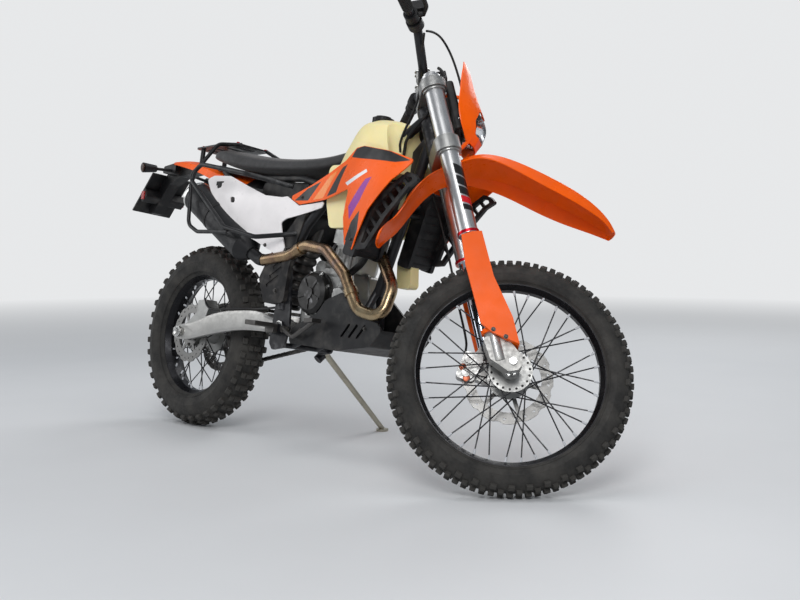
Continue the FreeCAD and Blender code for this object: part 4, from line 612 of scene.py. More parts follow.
@dataclass(frozen=True)
class Clear(Finish):
    """Clear or tinted lens with moulded prisms."""

    smears: ClassVar[Cloud] = Cloud(50.0, 3.0)
    refraction: ClassVar[float] = 1.49
    colour: Colour
    see_through: float = 1.0
    prisms: float = 0.0

    def wire(self, shader: Shader) -> None:
        """Wires the lens."""
        place = shader.coordinates()
        shader.put("Base Color", self.colour)
        shader.put("Transmission Weight", self.see_through)
        shader.put("IOR", self.refraction)
        shader.roughen(place, self.smears, 0.03, 0.12)
        if self.prisms:
            shader.bumps(shader.cells(place, 1.0 / (self.prisms * MM)), 0.6, 0.6)


@dataclass(frozen=True)
class Backdrop(Finish):
    """Pale floor that fades into the pale surround."""

    mottle: ClassVar[Cloud] = Cloud(3.0)
    surround: Colour
    colour: Colour = (0.70, 0.71, 0.72)
    fade_from: float = 3.0
    fade_to: float = 9.0

    def wire(self, shader: Shader) -> None:
        """Wires a matt floor and its glowing far rim."""
        place = shader.coordinates()
        x, y, _ = shader.split(place)
        far = shader.spread(shader.reach(x, y), self.fade_from, self.fade_to, 0.0, 1.0)
        shader.put("Base Color", shader.clouded(place, self.mottle, 0.25, self.colour, 0.93))
        shader.put("Roughness", 0.62)
        glow = shader.node("ShaderNodeEmission", {"Color": self.surround})
        layers = {0: far, 1: shader.surface.outputs[0], 2: glow.outputs[0]}
        both = shader.node("ShaderNodeMixShader", layers)
        shader.links.new(both.outputs[0], shader.nodes["Material Output"].inputs["Surface"])


class Finishes:
    """Every finish of this machine."""

    def __init__(self, stance: Stance) -> None:
        """Names the finishes, with the frames that drawn marks follow.

        Args:
            stance: The maps of the parked machine.
        """
        fork = stance.fork_frame()
        front_wheel, rear_wheel = stance.wheel(Body.FRONT_WHEEL), stance.wheel(Body.REAR_WHEEL)
        ground = shade(142, 141, 139)
        self.orange = Plastic("orange_plastic", shade(255, 98, 0), 0.3, dust=0.02, shine=0.18)
        self.white = Plastic("white_plastic", shade(250, 246, 246), 0.32, dust=0.03, clear=0.1)
        self.purple = Film("purple_film", shade(142, 30, 152))
        self.black_film = Film("black_film", shade(20, 20, 22), 0.34)
        self.red_film = Film("red_film", shade(206, 22, 34))
        self.white_film = Film("white_film", shade(236, 236, 238), 0.26, dust=0.06, clear=0.4)
        self.pale_orange = Film("light_orange_film", shade(255, 140, 40), 0.28, dust=0.06, clear=0.3)
        self.black_plastic = Plastic("black_plastic", shade(19, 19, 21), 0.46, 0.35, dust=0.08)
        self.guard_plastic = Plastic("grip_plastic", shade(27, 26, 27), 0.62, 0.9, 2.2, dust=0.14)
        self.hose = Plastic("hose_rubber", shade(18, 18, 19), 0.5, 0.3, dust=0.06)
        self.nickel = Plastic("nickel_plate", shade(214, 216, 220), 0.28, dust=0.0, clear=0.5)
        self.red_lens = Clear("red_lens", shade(170, 12, 16), 0.25, 2.4)
        self.smoked_lens = Clear("smoked_lens", shade(70, 40, 22), 0.4, 2.0)
        self.clear_lens = Clear("clear_lens", (0.95, 0.96, 0.97), 1.0)
        self.frame_paint = Coated("frame_coat", shade(27, 27, 30))
        self.rack_paint = Coated("rack_coat", shade(20, 20, 22), 0.38)
        self.black_cover = Coated("engine_cover_coat", shade(29, 28, 27), 0.36, 0.5)
        self.rim_black = Coated("rim_anodised", shade(24, 24, 27), 0.3, 0.15, 0.7)
        self.muffler_black = Coated("muffler_coat", shade(22, 22, 24), 0.46)
        self.spoke_black = Coated("spoke_coat", shade(44, 44, 46), 0.35, metallic=0.8)
        self.red_ring = Coated("red_anodised", shade(200, 20, 40), 0.25, 0.0, 0.8)
        self.cases = Cast("cast_grey", shade(158, 158, 156))
        self.barrel = Cast("cast_silver", shade(176, 176, 174), 0.42)
        self.arm = Cast("cast_swingarm", shade(182, 181, 178), 0.4, 0.3, 0.3)
        self.machined = Cast("machined_alloy", shade(170, 170, 168), 0.4, 0.2, 0.3)
        self.lug = Cast("axle_lug_cast", shade(172, 171, 168), 0.5, 0.3, 0.3)
        self.dark_steel = Cast("dark_steel", shade(92, 90, 88), 0.42, 0.25)
        self.stand = Cast("plated_stand", shade(186, 180, 164), 0.4, 0.2, 0.3)
        self.copper = Cast("copper_piston", shade(168, 96, 72), 0.4, 0.2, 0.2)
        self.mirror = Brushed("reflector_mirror", shade(225, 228, 232), fork, False, 0.12, 0.02, 0.0)
        self.tube = Brushed("fork_tube_satin", shade(214, 214, 214), fork)
        self.chrome = Brushed("chromed_tube", shade(205, 212, 224), fork, False, 0.1, 0.05, 0.05)
        self.bright = Brushed("bright_steel", shade(210, 210, 208), rear_wheel, False, 0.22, 0.1)
        self.discs = {
            Body.FRONT_WHEEL: Brushed("front_disc_ground", ground, front_wheel, True, 0.4, 0.4),
            Body.REAR_WHEEL: Brushed("rear_disc_ground", ground, rear_wheel, True, 0.4, 0.4)}
        self.header = HeatTinted("header_tint", stance.chassis)
        self.rubber = Rubber("tyre_rubber")
        self.soft_rubber = Rubber("grip_rubber", dust=0.15)
        self.tank = Milky("tank_plastic", shade(246, 232, 172))
        self.seat_side = Cover("seat_side_cover", shade(38, 37, 38), 2.2)
        self.seat_top = Cover("seat_top_cover", shade(52, 47, 45), 1.2, 6.0)
        self.floor = Backdrop("pale_floor", SURROUND)


# Mesh helpers

def placed(name: str, data: bpy.types.ID) -> bpy.types.Object:
    """New object in the scene.

    Args:
        name: Its name.
        data: Its mesh, curve, lamp or camera.

    Returns:
        The object.
    """
    made = bpy.data.objects.new(name, data)
    bpy.context.scene.collection.objects.link(made)
    return made


def mesh_of(bm: bmesh.types.BMesh, name: str = "template") -> bpy.types.Mesh:
    """Turns a finished bmesh into a mesh, and frees it.

    Args:
        bm: The bmesh.
        name: Name of the mesh.

    Returns:
        The mesh, which stamp can repeat.
    """
    mesh = bpy.data.meshes.new(name)
    bm.to_mesh(mesh)
    bm.free()
    return mesh


def smooth_by_angle(bm: bmesh.types.BMesh, angle: float) -> None:
    """Shades faces smooth and keeps edges above an angle sharp.

    Args:
        bm: The mesh.
        angle: Limit in degrees.
    """
    limit = radians(angle)
    for face in bm.faces:
        face.smooth = True
    for edge in bm.edges:
        edge.smooth = len(edge.link_faces) == 2 and edge.calc_face_angle(0.0) < limit


def stamp(bm: bmesh.types.BMesh, template: bpy.types.Mesh, place: Matrix) -> None:
    """Adds a copy of a template mesh.

    Args:
        bm: The mesh that receives it, from which nothing was removed.
        template: The shape to repeat.
        place: Where the copy goes.
    """
    before = len(bm.verts)
    bm.from_mesh(template)
    bm.verts.ensure_lookup_table()
    bmesh.ops.transform(bm, matrix=place, verts=bm.verts[before:])


def soften(bm: bmesh.types.BMesh, width: float, angle: float = 28.0, segments: int = 2) -> None:
    """Rounds the edges of a mesh that are sharper than an angle.

    Args:
        bm: The mesh.
        width: Width of the rounding, in the units of the mesh.
        angle: Limit in degrees.
        segments: Steps across each rounding.
    """
    sharp = [edge for edge in bm.edges
             if len(edge.link_faces) == 2 and edge.calc_face_angle(0.0) > radians(angle)]
    bmesh.ops.bevel(bm, geom=sharp, offset=width, offset_type="OFFSET", segments=segments, profile=0.5,
                    affect="EDGES", clamp_overlap=True, material=-1)


def towards(direction: Vector, place: Vector) -> Matrix:
    """Map that sets local Z along a direction at a place."""
    return Matrix.Translation(place) @ direction.to_track_quat("Z", "Y").to_matrix().to_4x4()


def spun(profile: Outline, steps: int) -> bmesh.types.BMesh:
    """Closed ring turned about local Y from a closed profile of radius and side.

    Args:
        profile: Points as (radius, y), in order round the section.
        steps: Number of segments.

    Returns:
        The mesh, in millimetres.
    """
    bm = bmesh.new()
    verts = [bm.verts.new((radius, y, 0.0)) for radius, y in profile]
    edges = [bm.edges.new((verts[i - 1], verts[i])) for i in range(len(verts))]
    bmesh.ops.spin(bm, geom=verts + edges, cent=(0, 0, 0), axis=LEFT, angle=2 * pi, steps=steps,
                   use_merge=True)
    bmesh.ops.remove_doubles(bm, verts=bm.verts, dist=1e-4)
    bmesh.ops.recalc_face_normals(bm, faces=bm.faces)
    return bm


def routed(points: Sequence[Vector], radius: float) -> bpy.types.Mesh:
    """Round tube along one smooth line.

    Args:
        points: Control points of the line.
        radius: Radius of the tube.

    Returns:
        The tube's mesh, in the units of the points.
    """
    curve = bpy.data.curves.new("route", "CURVE")
    curve.dimensions = "3D"
    curve.bevel_depth = radius
    curve.bevel_resolution = 3
    curve.resolution_u = 8
    curve.use_fill_caps = True
    spline = curve.splines.new("NURBS")
    spline.points.add(len(points) - 1)
    for knot, point in zip(spline.points, points):
        knot.co = (*point, 1.0)
    spline.order_u = 3
    spline.use_endpoint_u = True
    holder = placed("route", curve)
    mesh = bpy.data.meshes.new_from_object(holder.evaluated_get(bpy.context.evaluated_depsgraph_get()))
    bpy.data.objects.remove(holder)
    bpy.data.curves.remove(curve)
    return mesh


def turned_part(profile: Outline, edge: float, steps: int = 40) -> bpy.types.Mesh:
    """Part turned about local Z.

    Args:
        profile: Points as (radius, height), in order round the section.
        edge: Width that its edges are rounded by.
        steps: Number of segments.

    Returns:
        The part.
    """
    bm = spun(profile, steps)
    bmesh.ops.rotate(bm, matrix=Matrix.Rotation(pi / 2, 3, "X"), verts=bm.verts)
    soften(bm, edge, 40.0)
    return mesh_of(bm)


def button(radius: float, height: float) -> bpy.types.Mesh:
    """Low disc with a domed face that stands on z = 0."""
    dome = [(radius, 0.6 * height), (0.7 * radius, 0.9 * height), (0.0, height)]
    return turned_part([(0.0, 0.0), (radius, 0.0), *dome], 0.2 * height)


def collar(radius: float, wall: float, height: float) -> bpy.types.Mesh:
    """Ring round local Z with rounded edges.

    Args:
        radius: Inner radius.
        wall: Thickness of the ring.
        height: Height of the ring, half on each side of z = 0.

    Returns:
        The ring.
    """
    outer, half = radius + wall, height / 2
    section = [(radius, -half), (outer, -half), (outer, half), (radius, half)]
    return turned_part(section, 0.3 * min(wall, height))


def hex_bolt(radius: float, height: float) -> bpy.types.Mesh:
    """Hex head on a washer that stands on z = 0, with a dished top.

    Args:
        radius: Radius over the corners.
        height: Height of the head over its washer.

    Returns:
        The bolt head.
    """
    bm = bmesh.new()
    washer = (20, 1.36, 1.30, 0.0, WASHER_T)
    head = (6, 1.0, 0.96, WASHER_T, WASHER_T + height)
    for segments, foot, top, low, high in (washer, head):
        lift = Matrix.Translation((0, 0, (low + high) / 2))
        bmesh.ops.create_cone(bm, cap_ends=True, segments=segments, radius1=radius * foot,
                              radius2=radius * top, depth=high - low, matrix=lift)
    highest = max(bm.faces, key=lambda face: face.calc_center_median().z)
    bmesh.ops.inset_individual(bm, faces=[highest], thickness=0.35 * radius, depth=-0.3 * height)
    return mesh_of(bm)


def cylinder(radius: float, length: float) -> bpy.types.Mesh:
    """Plain round bar along Y, for what a chain repeats.

    Args:
        radius: Its radius.
        length: Its length, half on each side of y = 0.

    Returns:
        The bar.
    """
    bm = bmesh.new()
    bmesh.ops.create_cone(bm, cap_ends=True, segments=10, radius1=radius, radius2=radius, depth=length,
                          matrix=Matrix.Rotation(pi / 2, 4, "X"))
    return mesh_of(bm)


def rounded_box(size: Point, edge: float) -> bpy.types.Mesh:
    """Box about the origin with rounded edges.

    Args:
        size: Its sides.
        edge: Width of the rounding.

    Returns:
        The box.
    """
    bm = bmesh.new()
    bmesh.ops.create_cube(bm, size=1.0, matrix=Matrix.Diagonal((*size, 1.0)))
    soften(bm, edge, 40.0, 3)
    return mesh_of(bm)


def ring_spots(count: int, radius: float, centre: Sequence[float], out: Vector,
               phase: float = 0.0) -> list[Spot]:
    """Evenly spaced places round a cross axis.

    Args:
        count: Number of places.
        radius: Distance from the axis.
        centre: Middle of the ring.
        out: Direction that each place faces.
        phase: Turn of the first place, in radians.

    Returns:
        Places with their directions.
    """
    turns = [phase + 2 * pi * i / count for i in range(count)]
    return [(Vector(centre) + (AHEAD * cos(turn) + UP * sin(turn)) * radius, out) for turn in turns]


def both_sides(places: Iterable[Point], out: Vector = LEFT) -> list[Spot]:
    """Places mirrored to the right and to the left.

    Args:
        places: Places as (x, distance to the side, z).
        out: Direction that those on the left face.

    Returns:
        Places with their directions.
    """
    return [(Vector((x, side * y, z)), Vector((out.x, side * out.y, out.z)))
            for x, y, z in places for side in SIDES]


# Patches and pieces

@dataclass
class Zone:
    """Part of a node with its own finish, told by the middles of its faces."""

    finish: Finish
    holds: Callable[[Vector], bool]

    def lay(self, bm: bmesh.types.BMesh, place: Matrix, index: int) -> None:
        """Gives the faces of the zone their material.

        Args:
            bm: The node's copy, in the row frame.
            place: Map from the upright machine to the row frame.
            index: Material index of the finish.
        """
        back = place.inverted()
        for face in bm.faces:
            if self.holds(back @ face.calc_center_median()):
                face.material_index = index


@dataclass
class Flash:
    """Convex patch of another finish, drawn in side view and cut into a skin."""

    finish: Finish
    outline: Outline
    margin: float = 60.0

    def lay(self, bm: bmesh.types.BMesh, place: Matrix, index: int) -> None:
        """Cuts the outline into a skin and gives the faces inside it their material.

        Args:
            bm: The skin, in the row frame.
            place: Map from the upright machine to the row frame.
            index: Material index of the finish.
        """
        back = place.inverted()
        points = [Vector((x, 0, z)) for x, z in self.outline]
        middle = sum(points, Vector()) / len(points)
        reach = max((point - middle).length for point in points) + self.margin
        walls = []
        for start, end in zip(points, points[1:] + points[:1]):
            out = (end - start).cross(LEFT).normalized()
            walls.append((start, -out if out.dot(middle - start) > 0 else out))
        for start, out in walls:
            near = [f for f in bm.faces if (back @ f.calc_center_median() - middle).xz.length < reach]
            edges = {edge for face in near for edge in face.edges}
            verts = {vert for face in near for vert in face.verts}
            bmesh.ops.bisect_plane(bm, geom=[*near, *edges, *verts], dist=1e-7, plane_co=place @ start,
                                   plane_no=(place.to_3x3() @ out).normalized())
        inside = Zone(self.finish, lambda here: all((here - start).dot(out) < 0 for start, out in walls))
        inside.lay(bm, place, index)


@dataclass
class Workshop:
    """Turns meshes into finished pieces of the machine."""

    frame: dict
    stance: Stance
    finishes: Finishes

    def slot_of(self, node: str) -> str:
        """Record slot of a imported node."""
        return next(s["material_slot"] for s in self.frame["record"]["subparts"] if s["node"] == node)

    def piece(self, name: str, bm: bmesh.types.BMesh, finishes: Sequence[Finish], body: Body,
              slot: Optional[Slot] = None, node: Optional[str] = None, angle: float = 32.0,
              local: Optional[Matrix] = None) -> bpy.types.Object:
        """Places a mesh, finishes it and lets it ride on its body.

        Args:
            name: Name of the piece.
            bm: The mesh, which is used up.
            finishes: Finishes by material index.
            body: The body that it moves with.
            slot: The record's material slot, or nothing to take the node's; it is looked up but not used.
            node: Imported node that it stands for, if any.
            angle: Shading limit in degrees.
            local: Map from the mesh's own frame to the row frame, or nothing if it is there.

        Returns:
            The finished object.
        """
        if local is not None:
            bm.transform(local)
        smooth_by_angle(bm, angle)
        made = placed(name, mesh_of(bm, name))
        for finish in finishes:
            made.data.materials.append(finish.material())
        even = made.modifiers.new("even_flats", "WEIGHTED_NORMAL")
        even.keep_sharp = True
        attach(made, body.value)
        slot.value if slot else self.slot_of(node)
        if node:
            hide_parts(node)
        log.info("%s: %d faces on %s", name, len(made.data.polygons), body.value)
        return made

    def on_skin(self, node: str, body: Body, places: Outline, reach: float = 0.95 * FAR) -> list[Spot]:
        """Places on the outer faces of a node, seen from the right and from the left.

        Args:
            node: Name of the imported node.
            body: The body whose upright frame the places are drawn in.
            places: Places in side view as (x, z).
            reach: How far each ray goes from a plane FAR to the side.

        Returns:
            Points on the skin with the directions that it faces there.
        """
        bm = self.merged(node)
        bm.transform(self.stance.of(body).inverted())
        bm.normal_update()
        tree = BVHTree.FromBMesh(bm)
        bm.free()
        hits = [tree.ray_cast(Vector((x, side * FAR, z)), LEFT * -side, reach)
                for x, z in places for side in SIDES]
        return [(point, normal) for point, normal, _, _ in hits if point is not None]

    def scatter(self, name: str, template: bpy.types.Mesh, spots: Iterable[Spot], finish: Finish,
                body: Body = Body.CHASSIS, slot: Slot = Slot.AXLE) -> None:
        """Repeats one small part at many places of the upright machine.

        Args:
            name: Name of the piece.
            template: The part, standing on z = 0.
            spots: Places with the directions that they face.
            finish: Its finish.
            body: The body that it moves with.
            slot: The record's material slot.
        """
        bm = bmesh.new()
        for place, out in spots:
            stamp(bm, template, towards(out.normalized(), place - out.normalized() * SEATED))
        self.piece(name, bm, [finish], body, slot, local=self.stance.of(body))

    def merged(self, node: str) -> bmesh.types.BMesh:
        """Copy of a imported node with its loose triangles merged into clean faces.

        Args:
            node: Name of the node.

        Returns:
            The copy, in the row frame.
        """
        bm = bmesh.new()
        bm.from_mesh(self.frame["nodes"][node].data)
        bmesh.ops.remove_doubles(bm, verts=bm.verts, dist=MERGE_GAP)
        bmesh.ops.dissolve_limit(bm, angle_limit=FLAT_ANGLE, verts=bm.verts, edges=bm.edges)
        return bm

    def dressed(self, node: str, finish: Finish, body: Body = Body.CHASSIS, edge: float = 0.8,
                patches: Iterable[Union[Zone, Flash]] = (), angle: float = 32.0) -> None:
        """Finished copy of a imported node, which it replaces.

        Args:
            node: Name of the node.
            finish: Finish of the node where no patch covers it.
            body: The body that it moves with.
            edge: Width in millimetres that sharp edges are rounded by.
            patches: Zones and flashes with finishes of their own.
            angle: Shading limit in degrees.
        """
        bm = self.merged(node)
        if edge:
            soften(bm, edge * MM)
        finishes = [finish]
        for patch in patches:
            if patch.finish not in finishes:
                finishes.append(patch.finish)
            patch.lay(bm, self.stance.of(body), finishes.index(patch.finish))
        self.piece(f"{node}_dressed", bm, finishes, body, node=node, angle=angle)


@dataclass
class Assembly:
    """Part of the machine, or of the studio round it, that a workshop builds."""

    shop: Workshop

    @property
    def fin(self) -> Finishes:
        """The finishes of the machine."""
        return self.shop.finishes

    @property
    def stance(self) -> Stance:
        """The maps of the parked machine."""
        return self.shop.stance

    def build(self) -> None:
        """Makes the pieces. Each sub-assembly makes its own."""
        raise NotImplementedError


# Wheels

@dataclass
class KnobRow:
    """One ring of tread blocks, in millimetres, and its twin on the other side."""

    y: float
    width: float
    length: float
    height: float
    phase: float = 0.0
    skew: float = 0.0
    root: float = 5.0
    taper: tuple[float, float] = (0.86, 0.88)
    edge: float = 1.3

    def block(self) -> bpy.types.Mesh:
        """One tread block with a drafted, rounded top at z = 0."""
        bm = bmesh.new()
        size = Matrix.Diagonal((self.length, self.width, self.height + self.root, 1.0))
        bmesh.ops.create_cube(bm, size=1.0, matrix=size @ Matrix.Translation((0, 0, -0.5)))
        for vert in bm.verts:
            if vert.co.z > -self.root / 2:
                vert.co.x *= self.taper[0]
                vert.co.y *= self.taper[1]
        soften(bm, self.edge, 20.0, 1)
        return mesh_of(bm)


@dataclass
class Tyre(Assembly):
    """Knobbly tyre: a spun carcass and rings of tread blocks."""

    # Side wall from the shoulder in, as shares of the height above the bead and of the half width
    side_wall: ClassVar[Outline] = (
        (0.72, 0.945), (0.66, 0.95), (0.64, 0.965), (0.60, 0.965), (0.58, 0.95), (0.40, 0.92),
        (0.20, 0.82), (0.18, 0.84), (0.12, 0.80), (0.10, 0.72), (0.0, 0.62))
    prefix: str
    body: Body
    radius: float
    half_width: float
    bead_r: float
    crown_drop: float
    pitch_count: int
    rows: Sequence[KnobRow]
    groove: float = 12.0
    casing_t: float = 14.0
    bead_lip: float = 3.0
    steps: int = 120

    def crown(self, y: float) -> float:
        """Radius of the block tops at a side distance."""
        return self.radius - self.crown_drop * (abs(y) / self.half_width) ** 2

    def slope(self, y: float) -> float:
        """Lean of the tread at a side distance, in radians."""
        return atan(2 * self.crown_drop * y / self.half_width ** 2)

    def carcass(self) -> bpy.types.Mesh:
        """Spun casing below the blocks, with ridges on its side walls.

        Returns:
            The casing about the wheel's own Y.
        """
        base = self.radius - self.groove
        width = self.half_width
        span = base - self.crown_drop - self.bead_r
        lip_r = self.bead_r - self.bead_lip
        half = [(base, 0.0), (self.crown(0.35 * width) - self.groove, 0.35 * width),
                (self.crown(0.66 * width) - self.groove, 0.64 * width),
                (base - self.crown_drop + 1, 0.86 * width),
                *[(self.bead_r + rise * span, side * width) for rise, side in self.side_wall],
                (lip_r, 0.58 * width), (lip_r, 0.40 * width), (self.bead_r + 0.3 * span, 0.62 * width),
                (base - self.casing_t, 0.0)]
        other = [(radius, -y) for radius, y in reversed(half[1:-1])]
        return mesh_of(spun(half + other, self.steps))

    def build(self) -> None:
        """Makes the tyre and lets it replace its solid."""
        bm = bmesh.new()
        bm.from_mesh(self.carcass())
        for row in self.rows:
            template = row.block()
            for side in (SIDES if row.y else (1,)):
                y = side * row.y
                phase = row.phase + (0.5 if side < 0 else 0.0)
                seat = (Matrix.Translation((0, y, self.crown(y))) @ Matrix.Rotation(-self.slope(y), 4, "X")
                        @ Matrix.Rotation(side * row.skew, 4, "Z"))
                for i in range(self.pitch_count):
                    turn = 2 * pi * (i + phase) / self.pitch_count
                    stamp(bm, template, Matrix.Rotation(-turn, 4, "Y") @ seat)
        self.shop.piece(f"{self.prefix}_tyre_tread", bm, [self.fin.rubber], self.body,
                        node=f"{self.prefix}_tyre", local=self.stance.wheel(self.body))


@dataclass
class SpokedWheel(Assembly):
    """Rim, hub with its spokes, nipples and the brake disc of one wheel."""

    prefix: str
    body: Body
    rim_r: float
    rim_depth: float
    hub_half: float
    flange_r: float = 62.0
    flange_t: float = 5.0
    hole_inset: float = 6.0
    rim_stagger: float = 5.0
    nipple_seat: float = 0.7
    nipple_r: tuple[float, float] = (3.2, 3.9)
    nipple_length: float = 16.0
    nipple_shown: float = 1.0
    cross: float = radians(52)

    def spoke(self, index: int) -> Spot:
        """Place of a spoke's nipple with its direction, in the wheel's frame.

        Args:
            index: Number of the spoke round the wheel.

        Returns:
            The place at the rim's well, and the direction out along the spoke.
        """
        side = 1 if index % 2 else -1
        lean = 1 if index % 4 < 2 else -1
        rim_angle = 2 * pi * index / SPOKES
        hub_angle = rim_angle + lean * self.cross
        hole_r = self.flange_r - self.hole_inset
        well_r = self.rim_r - self.rim_depth - self.nipple_seat
        start = Vector((hole_r * cos(hub_angle), side * (self.hub_half - self.flange_t / 2),
                        hole_r * sin(hub_angle)))
        end = Vector((well_r * cos(rim_angle), side * self.rim_stagger, well_r * sin(rim_angle)))
        return end, (end - start).normalized()

    def nipples(self) -> None:
        """Silver nipples where the spokes enter the rim."""
        cone = bmesh.new()
        sunk = Matrix.Translation((0, 0, self.nipple_shown - self.nipple_length / 2))
        bmesh.ops.create_cone(cone, cap_ends=True, segments=8, radius1=self.nipple_r[0],
                              radius2=self.nipple_r[1], depth=self.nipple_length, matrix=sunk)
        template = mesh_of(cone)
        bm = bmesh.new()
        for i in range(SPOKES):
            end, along = self.spoke(i)
            stamp(bm, template, towards(along, end))
        self.shop.piece(f"{self.prefix}_nipples", bm, [self.fin.nickel], self.body, Slot.HUB,
                        local=self.stance.wheel(self.body))

    def build(self) -> None:
        """Dresses the wheel's solids and adds the nipples."""
        fin, centre = self.fin, self.stance.axle(self.body)
        spokes = Zone(fin.spoke_black, lambda here: (here - centre).xz.length > self.flange_r + 1.0)
        self.shop.dressed(f"{self.prefix}_rim", fin.rim_black, self.body, 0.6)
        self.shop.dressed(f"{self.prefix}_hub", fin.machined, self.body, 0.0, [spokes])
        self.shop.dressed(f"{self.prefix}_disc", fin.discs[self.body], self.body, 0.4)
        self.nipples()


# Chain

@dataclass
class Chain(Assembly):
    """Roller chain round both sprockets."""

    y: float = 82.0
    rear_r: float = 126.0
    front_r: float = 35.7
    front: Vector = field(default_factory=lambda: Vector((662.0, 0.0, 412.0)))
    pitch: float = 15.875
    plate_height: float = 12.4
    plate_t: float = 1.6
    plate_sides: tuple[float, float] = (5.6, 7.6)
    roller: tuple[float, float] = (5.0, 9.4)
    pin: tuple[float, float] = (2.6, 19.0)

    def runs(self) -> list[tuple[float, Callable[[float], Vector]]]:
        """Stretches of the pitch line, each as a length and its point at a distance along it."""
        span = self.front - REAR_AXLE
        base = atan2(span.z, span.x)
        spread = acos((self.rear_r - self.front_r) / span.length)
        straight = (span.length ** 2 - (self.rear_r - self.front_r) ** 2) ** 0.5
        top, bottom = base + spread, base - spread

        def at(centre: Vector, radius: float, angle: float) -> Vector:
            """Point on a sprocket's pitch circle."""
            return centre + Vector((radius * cos(angle), 0, radius * sin(angle)))

        def line(start: Vector, end: Vector) -> Callable[[float], Vector]:
            """A straight run."""
            along = (end - start).normalized()
            return lambda s: start + along * s

        def wrap(centre: Vector, radius: float, start: float) -> Callable[[float], Vector]:
            """A wrap that turns backwards round a sprocket."""
            return lambda s: at(centre, radius, start - s / radius)
        return [
            (straight, line(at(REAR_AXLE, self.rear_r, top), at(self.front, self.front_r, top))),
            (self.front_r * 2 * spread, wrap(self.front, self.front_r, top)),
            (straight, line(at(self.front, self.front_r, bottom), at(REAR_AXLE, self.rear_r, bottom))),
            (self.rear_r * (2 * pi - 2 * spread), wrap(REAR_AXLE, self.rear_r, bottom)),
        ]

    def point_at(self, share: float) -> Vector:
        """Point on the loop at a share of its length."""
        runs = self.runs()
        distance = share % 1.0 * sum(length for length, _ in runs)
        for length, path in runs:
            if distance <= length:
                return path(distance) + LEFT * self.y
            distance -= length
        return runs[0][1](0.0) + LEFT * self.y

    def link_plate(self) -> bpy.types.Mesh:
        """Side plate with round ends, a pitch long, its thickness about y = 0."""
        bm = bmesh.new()
        bmesh.ops.create_circle(bm, cap_ends=True, radius=self.plate_height / 2, segments=12)
        for vert in bm.verts:
            vert.co.x += self.pitch / 2 * (1 if vert.co.x > 0 else -1)
        upright = Matrix.Translation((0, -self.plate_t / 2, 0)) @ Matrix.Rotation(pi / 2, 4, "X")
        bmesh.ops.transform(bm, matrix=upright, verts=bm.verts)
        made = bmesh.ops.extrude_face_region(bm, geom=list(bm.faces))
        moved = [part for part in made["geom"] if isinstance(part, bmesh.types.BMVert)]
        bmesh.ops.translate(bm, vec=(0, self.plate_t, 0), verts=moved)
        bmesh.ops.recalc_face_normals(bm, faces=bm.faces)
        return mesh_of(bm)

    def build(self) -> None:
        """Lays the links round the loop."""
        count = 2 * round(sum(length for length, _ in self.runs()) / self.pitch / 2)
        plate, roller, pin = self.link_plate(), cylinder(*self.roller), cylinder(*self.pin)
        bm = bmesh.new()
        for i in range(count):
            here, there = self.point_at(i / count), self.point_at((i + 1) / count)
            along = there - here
            turn = Matrix.Rotation(-atan2(along.z, along.x), 4, "Y")
            for side in SIDES:
                middle = (here + there) / 2 + LEFT * (side * self.plate_sides[i % 2])
                stamp(bm, plate, Matrix.Translation(middle) @ turn)
            for part in (roller, pin):
                stamp(bm, part, Matrix.Translation(here))
        self.shop.piece("chain_links", bm, [self.fin.dark_steel], Body.CHASSIS, node="chain",
                        local=self.stance.chassis)


# Seat

@dataclass
class SeatStation:
    """One cross section of the seat, in millimetres."""

    x: float
    top_half: float
    foot_half: float
    top: float
    foot: float
    crown: float


